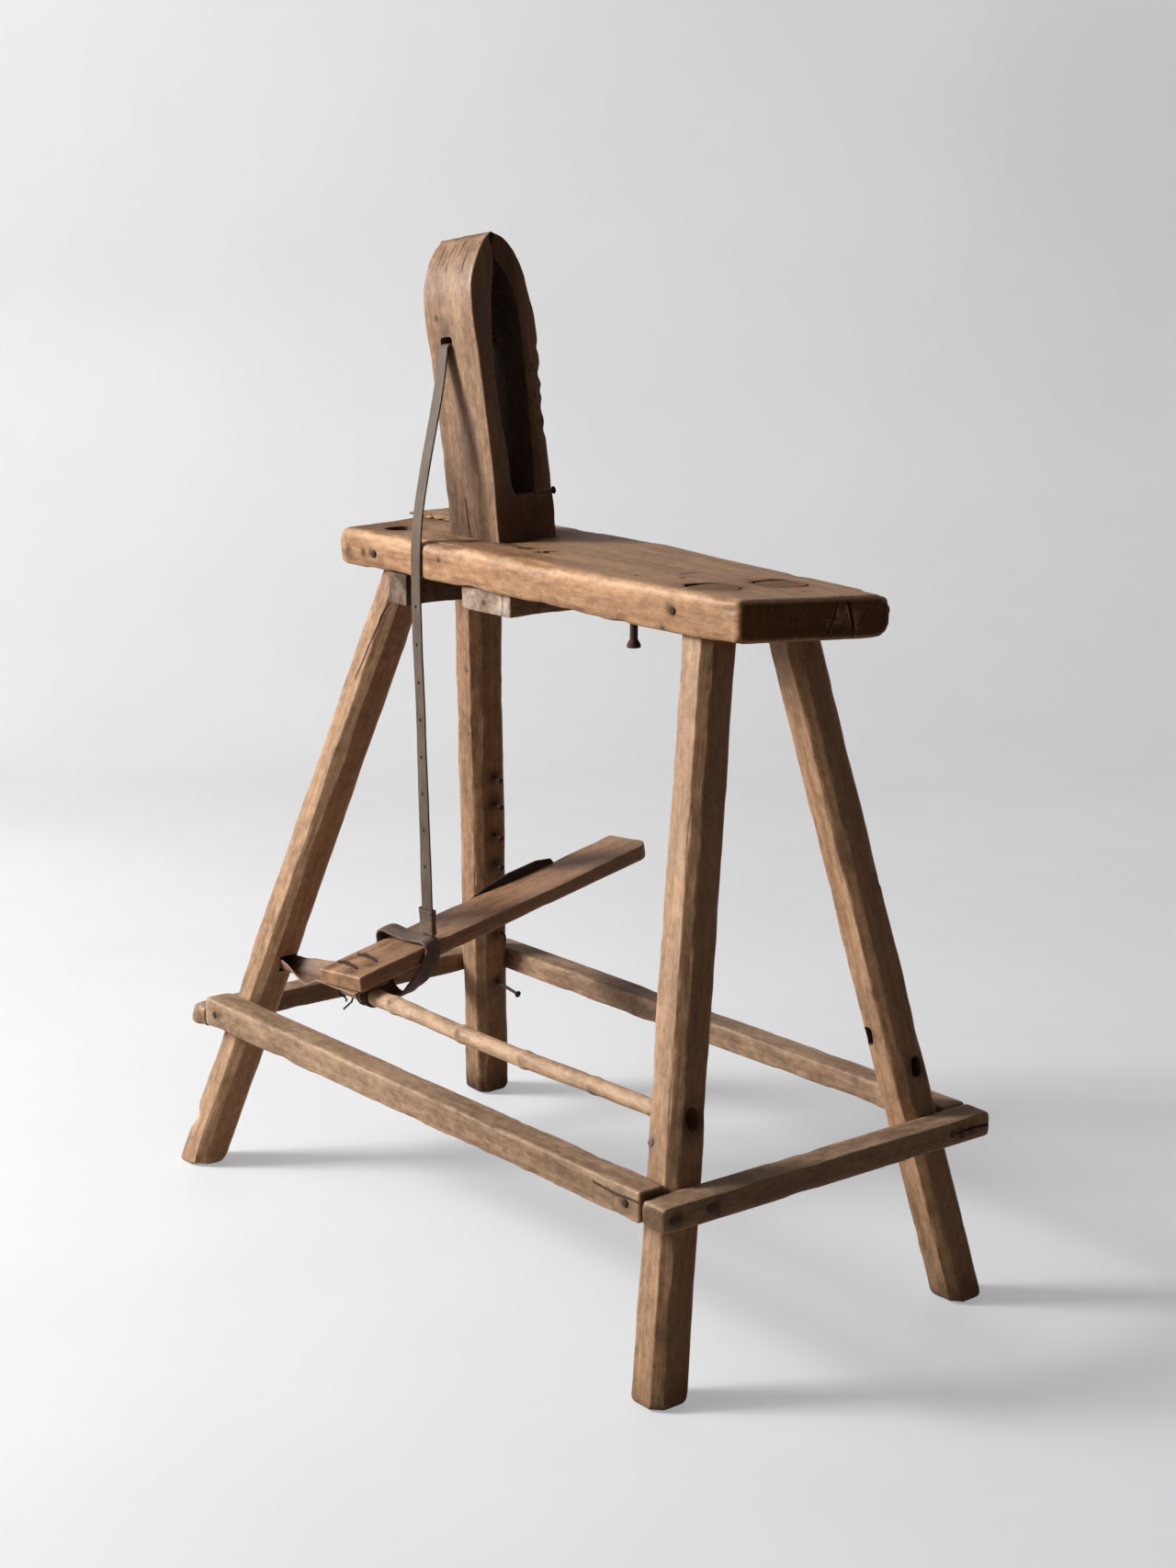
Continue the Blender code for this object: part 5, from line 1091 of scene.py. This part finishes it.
# %% [markdown]
# ## Treadle board and rod
# The treadle is a plain board, worn on top by the foot, with one far corner rounded off. Under its near end a
# natural stick is lashed with wire: the rod that the treadle turns on. The stick tapers and bends a little,
# and has the knots of cut-off twigs.

# %% Treadle board
BOARD_NEAR, BOARD_FAR = np.array((-0.2147, -0.1616, 0.2746)), np.array((-0.286, 0.3116, 0.341))
BOARD_HALF, BOARD_THICK = 0.0345, 0.018
AL = unit(BOARD_FAR - BOARD_NEAR)
LENGTH = float(np.linalg.norm(BOARD_FAR - BOARD_NEAR))
flat, tilt = unit(np.cross(AL, Z)), -math.radians(2.2)
AC = flat * math.cos(tilt) + np.cross(AL, flat) * math.sin(tilt)
UP = np.cross(AC, AL)


def board_point(a, c, b):
    """A point of the board's own frame: a across, c along from the pivot end, b up from its top face."""
    a, c, b = (np.asarray(v, float)[..., None] for v in (a, c, b))
    return BOARD_NEAR + a * AC + c * AL + b * UP


def board_top(x, y):
    """Height of the board's top face over a place: its plane, solved for z."""
    return BOARD_NEAR[2] - ((x - BOARD_NEAR[0]) * UP[0] + (y - BOARD_NEAR[1]) * UP[1]) / UP[2]


def make_board():
    """A rounded rectangle swept along the board; the far right corner is a quarter circle."""
    c, inset = stations(LENGTH, 0.0025, 0.003, 190)
    turn = np.clip((c - LENGTH + 0.022) / 0.022, 0.0, 0.995)
    right = BOARD_HALF - 0.022 * (1 - np.sqrt(1 - turn ** 2))
    dip = 0.0012 * np.exp(-((c - 0.33) / 0.1) ** 2)
    corners = slab_corners(-BOARD_HALF, right, -BOARD_THICK, -dip, inset)
    ring = outline(corners, np.full(4, 0.003) - 0.4 * inset[:, None], (6, 26, 6, 26), 4)
    rows = close_ends(sweep(board_point(0 * c, c, 0 * c), AC, UP, ring))
    about = frame_for(BOARD_NEAR, AL, AC)
    return skin("treadle_board_worn", aged(rows, about, 103, 0.0008, 0.00016, 26, 0.001)), about


board, about = make_board()
WIRE_HOLES = ((-0.024, 0.014), (-0.022, 0.04), (0.014, 0.008), (0.016, 0.034))
dress(board, "board_wood", about, "treadle", "treadle_board", offset=2.2, ends=0.25,
      stains=[(board_point(a, c, 0.0), 0.006, 0.6) for a, c in WIRE_HOLES])

# %% Pivot rod
ROD_X, ROD_LONG, KNOTS = -0.252, 0.598, (-0.15, -0.02, 0.095, 0.21)


def rod_middle(x):
    """The straight middle line of the rod, which runs a little askew under the board."""
    share = (np.asarray(x) - ROD_X) / ROD_LONG
    return np.stack([x, -0.142 + 0.013 * (1 - share), 0.2453 + 0.0122 * share], -1)


def make_rod():
    """A circle swept along a slightly bowed line; its radius swells at the knots and shrinks to a tenon."""
    x = np.linspace(ROD_X, ROD_X + ROD_LONG, 260)
    share = (x - ROD_X) / ROD_LONG
    bow = np.sin(np.pi * share)
    path = rod_middle(x)
    path[:, 1] += 0.0018 * bow * np.sin(7 * share)
    path[:, 2] += 0.0012 * bow * np.sin(9 * share + 1) - 0.0015 * bow ** 2
    radius = 0.0098 - 0.001 * share - 0.0034 * ease(x, 0.296, 0.312)
    for knot in KNOTS:
        radius = radius + 0.0011 * np.exp(-((x - knot) / 0.007) ** 2)
    radius[:3] *= (0.72, 0.88, 0.96)
    rows = close_ends(sweep(path, Y, Z, radius[:, None, None] * circle(36)))
    about = frame_for(path[0], X, Y)
    return skin("pivot_rod_stick", aged(rows, about, 107, 0.0007, 0.00012, 16)), about


rod, about = make_rod()
stains = [((x, rod_middle(x)[1] - 0.008, 0.252), 0.005, 0.7) for x in KNOTS]
# The rod's end inside the leg's slot is painted near black: painted shade in the slot.
dress(rod, "rod_wood", about, "treadle", "pivot_rod", offset=3.1,
      stains=stains + [((0.352, -0.142, 0.2575), 0.016, 1.0)])

# %% [markdown]
# ## Strap
# One leather strap runs from the back of the moving jaw through both jaws, down over the plank's near edge to
# the treadle. It is a flat rounded section swept along a smooth line, with a row of awl holes. It is made in
# two lengths: the long one stays fixed in place, and the short one moves with the jaw and slides in the slot.

# %% Strap's line
EDGE_Y = NEAR_Y - 0.0018
SLIT_A, SLIT_C, LIFT = 0.025, 0.115, 0.0062
SLIT = board_point(SLIT_A, SLIT_C, LIFT)
EDGE_LOW = np.array((-0.1774, EDGE_Y, 0.713))
STRAP_UP = unit(EDGE_LOW - SLIT)
STRAP_SIDE = unit(AC - STRAP_UP * (AC @ STRAP_UP))
STRAP_OUT = unit(np.cross(STRAP_UP, STRAP_SIDE))


def turned(tangent, across):
    """The directions of a band's section: across made square to the line, and out square to both."""
    along = unit(tangent)
    across = unit(across - along * (across * along).sum(1, keepdims=True))
    return across, unit(np.cross(tangent, across))


def band(name, line, across, wide, thick, seed, wobble):
    """A flat section with round edges swept along a line; its edges and its lie wander a little."""
    across, out = turned(np.gradient(line, axis=0), across)
    run = length_along(line)
    place = np.stack([run * 22.0, 0 * run + seed, 0 * run], -1)
    half = wide / 2 + 0.0005 * rough(place, seed)
    corners = slab_corners(-half, half, -thick / 2, thick / 2, 0 * run)
    ring = outline(corners, np.full(4, thick * 0.42), (1, 12, 1, 12), 4)
    line = line + out * (wobble * rough(place * 0.6, seed + 3))[:, None]
    return skin(name, close_ends(sweep(line, across, out, ring), (0.3, 0.7)))


upper = [clamp_point(STRAP_U, w, h) for w, h in (
    (0.01, 0.2119), (-0.012, 0.2111), (-0.03, 0.2107), (-0.0358, 0.2102), (-0.0388, 0.207), (-0.0402, 0.202))]
over = [(-0.176, EDGE_Y - 0.0002, 0.743), (-0.1766, EDGE_Y - 0.0004, 0.73), EDGE_LOW]
down = [EDGE_LOW + (SLIT - EDGE_LOW) * t for t in (0.35, 0.75)]
down += [SLIT + STRAP_UP * rise for rise in (0.045, 0.03, 0.016, 0.002)]
down += [board_point(SLIT_A, SLIT_C + c, LIFT + b) for c, b in (
    (-0.0004, -0.0014), (-0.0022, -0.0032), (-0.011, -0.0036))]
line = curve(upper + over + down, 420)
print("long strap", round(float(length_along(line)[-1]), 3), "m")

# %% Long and short strap
high = np.clip((0.93 - line[:, 2]) / 0.18, 0.0, 1.0)[:, None]
low = np.clip((0.52 - line[:, 2]) / 0.16, 0.0, 1.0)[:, None]
across = (U * (1 - high) + X * high) * (1 - low) + STRAP_SIDE * low
strap = band("strap_long", line, across, 0.0165, 0.0022, 109, 0.0006)
awl = [EDGE_LOW + (SLIT - EDGE_LOW) * t for t in np.linspace(0.085, 0.8, 8)]
carve(strap, *[plug(p, STRAP_SIDE, STRAP_UP, STRAP_OUT, (0.0014, 0.0017), 0.0013, 0.006) for p in awl])
dress(strap, "strap_leather", frame_for(SLIT, STRAP_UP, STRAP_SIDE), None, "strap",
      stains=[(p, 0.0024, 0.9) for p in awl])
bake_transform(strap)

back = [clamp_point(STRAP_U, w, h) for w, h in (
    (0.0465, 0.158), (0.0475, 0.182), (0.0489, 0.2035), (0.0492, 0.209), (0.047, 0.2124), (0.043, 0.2131),
    (0.03, 0.2125), (0.0, 0.2115), (-0.026, 0.2108))]
strap_back = band("strap_short", curve(back, 130), np.tile(U, (130, 1)), 0.016, 0.0018, 113, 0.0)
dress(strap_back, "strap_leather", frame_for(clamp_point(0, 0, 0.21), W, U), "moving_jaw_body",
      "strap", offset=0.4)

# %% [markdown]
# ## Leather loop and sleeve
# A leather loop hangs round the board and holds the strap's end, with a short sleeve over the join. Both are
# bands swept round a closed line, the loop wide and sagging, the sleeve a flat tube.

# %% Loop and sleeve


def ring_curve(points, count):
    """A smooth closed line: the open curve run over the points three times, keeping the middle turn."""
    whole = curve(np.concatenate([points, points, points, points[:1]]), 3 * count + 1)
    return whole[count:2 * count]


def closed_band(name, line, across, wide, thick, seed):
    """A flat rounded section swept round a closed line, its edges curled by 1 mm (u^2 across the band)."""
    across, out = turned(np.roll(line, -1, 0) - np.roll(line, 1, 0), across)
    place = np.concatenate([3 * circle(len(line)), np.full((len(line), 1), seed)], axis=1)
    half = wide / 2 + 0.0008 * rough(place, seed)
    corners = slab_corners(-half, half, -thick / 2, thick / 2, 0 * half)
    ring = outline(corners, np.full(4, thick * 0.4), (1, 12, 1, 12), 4)
    ring[..., 1] += 0.001 * (ring[..., 0] / half[:, None]) ** 2
    return skin(name, sweep(line, across, out, ring), loop=True)


LEATHER_HALF = 0.00125
OUT, UNDER = BOARD_HALF + LEATHER_HALF + 0.0036, -BOARD_THICK - LEATHER_HALF - 0.0012
SAG, TRAIL, LOOP_C, SKEW = 0.027, 0.044, 0.108, 0.05
# Across the board, up from its top, and how far the band trails back there.
side = np.array([
    (OUT - 0.0069, LIFT, 0.0), (0.02, LIFT, 0.0), (0.006, LIFT + 0.0006, 0.0), (-0.006, LIFT + 0.002, 0.0),
    (-0.018, LIFT + 0.0045, 0.0), (-0.028, LIFT + 0.0066, 0.0), (-0.035, LIFT + 0.0052, 0.0),
    (-OUT + 0.0002, LIFT + 0.0002, 0.0), (-OUT - 0.0004, -0.004, 0.02), (-OUT + 0.0002, -0.013, 0.1),
    (-OUT + 0.004, UNDER - 0.002, 0.3), (-0.025, UNDER - 0.3 * SAG, 0.5), (-0.012, UNDER - 0.55 * SAG, 0.75),
    (0.003, UNDER - 0.85 * SAG, 0.95), (0.016, UNDER - SAG, 1.0), (0.027, UNDER - 0.9 * SAG, 0.95),
    (OUT - 0.004, UNDER - 0.55 * SAG, 0.7), (OUT - 0.0005, UNDER - 0.1 * SAG, 0.3), (OUT, -0.012, 0.08),
    (OUT - 0.0002, -0.004, 0.0), (OUT - 0.0018, 0.0032, 0.0)])
a, b, trail = ring_curve(side * (1.0, 1.0, -TRAIL), 150).T
line = board_point(a, LOOP_C + SKEW * np.minimum(a - SLIT_A, 0.0) + trail, b)
loop = closed_band("treadle_loop_worn", line, np.tile(AL, (150, 1)), 0.0215, 0.0026, 127)
dress(loop, "dark_leather", frame_for(SLIT, AC, AL), "treadle", "treadle_loop")

round_wall = circle(96)
wall = np.sign(round_wall) * np.abs(round_wall) ** 0.35 * (0.0098, 0.0027)
line = SLIT + STRAP_UP * 0.0185 + wall[:, :1] * STRAP_SIDE + wall[:, 1:] * STRAP_OUT
sleeve = closed_band("strap_sleeve_worn", line, np.tile(STRAP_UP, (96, 1)), 0.0285, 0.002, 131)
dress(sleeve, "dark_leather", frame_for(SLIT, STRAP_SIDE, STRAP_UP), "treadle", "strap_sleeve",
      offset=0.7)

# %% [markdown]
# ## Leather hinges
# The treadle's hinge is a strip of stiff leather: a trough at the leg that flattens under the board, made as
# a surface over two parameters and given a thickness. It bends between the leg and the board.

# %% Treadle hinge
LEG_X = float(leg_at(A, LEATHER_Z)[0] + LEG_HALF)
FLAT_X = BOARD_NEAR[0] - BOARD_HALF - 0.008
HINGE_X0, HINGE_X1, HINGE_Y = -0.384, -0.187, -0.14


def board_under(x, y):
    """Height of the leather's middle where it lies under the board: the board's plane, lowered."""
    return board_top(x, y) - (BOARD_THICK + 0.0003 + LEATHER_HALF) / UP[2] - 0.0001


def make_hinge(x, s):
    """A trough z = floor + rims at the leg that eases into the board's underside; x along, s across."""
    open_up = ease(x, LEG_X, FLAT_X)
    near, far = -0.151 - 0.009 * open_up, -0.129 + 0.015 * open_up
    y = near + (far - near) * s
    near_rim = 0.015 * (1 - ease(x, LEG_X, FLAT_X - 0.03)) * np.maximum(0.0, 1 - s / 0.4) ** 2
    far_rim = 0.015 * (1 + 0.5 * open_up) * np.maximum(0.0, (s - 0.6) / 0.4) ** 2
    wave = 0.0008 * noise(np.stack([x * 60, s * 3, 0 * x], -1), 17) * ease(x, LEG_X, LEG_X + 0.02)
    flat = ease(x, FLAT_X - 0.035, FLAT_X)
    z = (LEATHER_Z + near_rim + far_rim + wave) * (1 - flat) + board_under(x, y) * flat
    return np.stack([x, y, z], -1)


x, s = np.meshgrid(np.linspace(HINGE_X0, HINGE_X1, 120), np.linspace(0.0, 1.0, 26), indexing="ij")
middle = make_hinge(x, s)
over = unit(np.cross(np.gradient(middle, axis=0), np.gradient(middle, axis=1)))
half = LEATHER_HALF * (1 - 0.45 * (2 * s - 1) ** 8)[..., None]
rows = np.concatenate([middle - over * half, (middle + over * half)[:, ::-1]], axis=1)
hinge = skin("treadle_hinge_worn", close_ends(rows, (0.5,)))
dress(hinge, "hinge_leather", frame_for((HINGE_X0, HINGE_Y, LEATHER_Z), X, Y), None,
      "treadle_hinge_leather", offset=1.3)
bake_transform(hinge)

# %% [markdown]
# A patch of leather tacked across the joint at the back lets the moving jaw tip. The photograph doesn't show
# it, so it is kept plain: a flat strip between the base and the jaw.

# %% Jaw hinge
h = np.linspace(0.012, 0.084, 60)
corners = slab_corners(-0.038, 0.038, -LEATHER_HALF, LEATHER_HALF, 0 * h)
ring = outline(corners, np.full(4, 0.001), (1, 26, 1, 26), 3)
rows = close_ends(sweep(clamp_point(0 * h, 0 * h + 0.04255, h), U, W, ring), (0.4,))
rows = rows + W * (0.0004 * np.maximum(rough(rows * 60.0, 19), 0.0))[..., None]
patch = skin("jaw_hinge_worn", rows)
dress(patch, "dark_leather", frame_for(clamp_point(0, 0.0425, 0.012), H, U), None,
      "jaw_hinge_leather", offset=2.9)
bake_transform(patch)

# %% [markdown]
# ## Small iron and pegs
# Nails, tacks, the tie wire, the catch plate and the hanging bolt keep their measured solids. They get the
# rusted iron finish, and the pegs get the look of sawn ends.

# %% Small pieces
BUILT = {*LEGS, "seat_plank", "rail_near", "rail_far", "rail_clamp_end", "rail_seat_end", "batten_clamp_end",
         "batten_middle", "plank_patch", "fixed_jaw", "moving_jaw", "treadle_board", "pivot_rod", "strap",
         "treadle_loop", "strap_sleeve", "treadle_hinge_leather", "jaw_hinge_leather"}
kept = [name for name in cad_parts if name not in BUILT]
for name in kept:
    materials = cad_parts[name].data.materials
    materials.clear()
    materials.append(FINISH["peg_wood" if name.startswith("peg_") else "old_iron"])
print("kept solids", len(kept))

# %% [markdown]
# ## Arched wire
# Over the board the tie wire has sprung up into two low arches, and under it the rod is bound with a few
# turns. Both are a small circle swept along a line: an arch is a parabola between two holes, the binding a
# screw line.

# %% Arched wire and binding


def wire(name, line, side, radius):
    """A circle swept along a line, on the treadle; side is a direction that the line never takes."""
    along = unit(np.gradient(line, axis=0))
    ex = unit(np.cross(along, side))
    obj = skin(name, sweep(line, ex, np.cross(along, ex), radius * circle(12)))
    obj.data.materials.append(FINISH["old_iron"])
    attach(obj, "treadle")
    print(name, len(line), "stations")


t = np.linspace(0.0, 1.0, 40)
for number, side in ((1, -1), (2, 1)):
    hole_0, hole_1 = (rod_middle(x) + side * 0.013 * Y for x in (-0.2445, -0.2065))
    line = hole_0 + (hole_1 - hole_0) * t[:, None]
    line[:, 2] = board_top(line[:, 0], line[:, 1]) - 0.0025 + 0.027 * t * (1 - t)
    wire(f"tie_wire_arch_{number}", line, Y, 0.0012)
angle = np.linspace(0.0, 2 * np.pi * 4, 160)
line = rod_middle(-0.205 + 0.0034 * angle / (2 * np.pi))
line = line + 0.0108 * (np.cos(angle)[:, None] * Y + np.sin(angle)[:, None] * Z)
wire("rod_binding", line, X, 0.0015)

# %% [markdown]
# ## Studio
# A pale floor that curves up into a pale wall, two soft lamps from the left and a weak warm fill, as in the
# photograph. The floor looks pale to the camera but throws back little light, so the shaded sides stay deep.
# It is seen from its front only, so that a camera behind the wall sees through it.

# %% Floor and wall
CAM = np.array((2.2419, -1.786, 1.144))
AZ, EL = math.radians(51.469), math.radians(12.822)
AHEAD = np.array((-math.sin(AZ), math.cos(AZ), 0.0))
ASIDE = np.array((math.cos(AZ), math.sin(AZ), 0.0))
WALL_FOOT, WALL_TURN, WALL_HIGH = 2.2, 0.9, 5.0
FLOOR_BOUNCE, FLOOR_GLOW = (0.25, 0.172, 0.115), 0.66


def make_stage():
    """A profile (flat floor, quarter circle, upright wall) swept sideways."""
    bend = np.linspace(0.0, np.pi / 2, 24)
    run = np.concatenate([np.linspace(-5.0, WALL_FOOT, 40), WALL_FOOT + WALL_TURN * np.sin(bend),
                          np.full(20, WALL_FOOT + WALL_TURN)])
    rise = np.concatenate([np.zeros(40), WALL_TURN * (1 - np.cos(bend)), np.linspace(0.95, WALL_HIGH, 20)])
    out = np.linspace(-6.0, 6.0, 30)
    p = run[:, None, None] * AHEAD + out[None, :, None] * ASIDE + rise[:, None, None] * Z
    n, m = p.shape[:2]
    i, j = np.meshgrid(np.arange(n - 1), np.arange(m - 1), indexing="ij")
    at = (i * m + j).ravel()
    mesh = bpy.data.meshes.new("studio_floor")
    mesh.from_pydata(p.reshape(-1, 3).tolist(), [], np.stack([at, at + 1, at + m + 1, at + m], -1).tolist())
    mesh.shade_smooth()
    floor = bpy.data.objects.new("studio_floor", mesh)
    bpy.context.scene.collection.objects.link(floor)
    return floor


floor = make_stage()
mat, n = new_finish("studio_paint")
where, seen = n.place(), n.seen()
paint = n.ramp(n.cloud(where, (1.3,) * 3, 4.0), (0.3, (0.468, 0.481, 0.498)), (0.7, (0.503, 0.516, 0.533)))
glow = n.put("Math", {0: seen, 1: FLOOR_GLOW}, operation="MULTIPLY").outputs[0]
dull = n.ramp(n.cloud(where, (5.0,) * 3), (0.3, 0.55), (0.7, 0.7))
front = n.put("BsdfPrincipled", {"Base Color": n.blend(seen, FLOOR_BOUNCE, paint), "Roughness": dull,
                                 "Emission Color": paint, "Emission Strength": glow}).outputs[0]
back = n.put("NewGeometry").outputs["Backfacing"]
clear = n.put("BsdfTransparent").outputs[0]
n.put("OutputMaterial", {0: n.put("MixShader", {0: back, 1: front, 2: clear}).outputs[0]})
floor.data.materials.append(mat)
floor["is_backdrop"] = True
print("floor and wall", len(floor.data.polygons), "faces")

# %% Light and camera


def lamp(name, place, target, size, power, colour):
    """A soft rectangular light aimed at a point."""
    data = bpy.data.lights.new(name, "AREA")
    data.shape, data.size, data.size_y = "RECTANGLE", size[0], size[1]
    data.energy, data.color = power, colour
    obj = bpy.data.objects.new(name, data)
    bpy.context.scene.collection.objects.link(obj)
    obj.location = place
    obj.rotation_euler = Vector(np.array(place) - np.array(target)).to_track_quat("Z", "Y").to_euler()


TARGET, DAYLIGHT = (0.0, 0.0, 0.45), (1.0, 0.985, 0.96)
lamp("window_light", (-2.1, -2.8, 2.1), TARGET, (1.0, 1.2), 200.0, DAYLIGHT)
lamp("soft_light", (-2.3, -2.9, 2.2), TARGET, (3.4, 2.8), 85.0, DAYLIGHT)
FILL, PALE = (0.046, 0.031, 0.022), (0.62, 0.63, 0.65)
world = bpy.data.worlds.new("studio_air")
bpy.context.scene.world = world
world.use_nodes = True
n = Nodes(world.node_tree)
n.tree.links.new(n.blend(n.seen(), FILL, PALE), n.tree.nodes["Background"].inputs[0])
view = bpy.data.cameras.new("photo_camera")
view.lens, view.sensor_width, view.sensor_fit = 62.71, 36.0, "AUTO"
camera = bpy.data.objects.new("photo_camera", view)
camera.location = CAM
camera.rotation_euler = (math.pi / 2 - EL, 0.0, AZ)
bpy.context.scene.collection.objects.link(camera)
bpy.context.scene.camera = camera
bpy.context.scene.view_settings.view_transform = "Standard"
print("camera at", CAM)

# %% Finish
low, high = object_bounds()
print("visual box", [round(v, 4) for v in (*low, *high)])
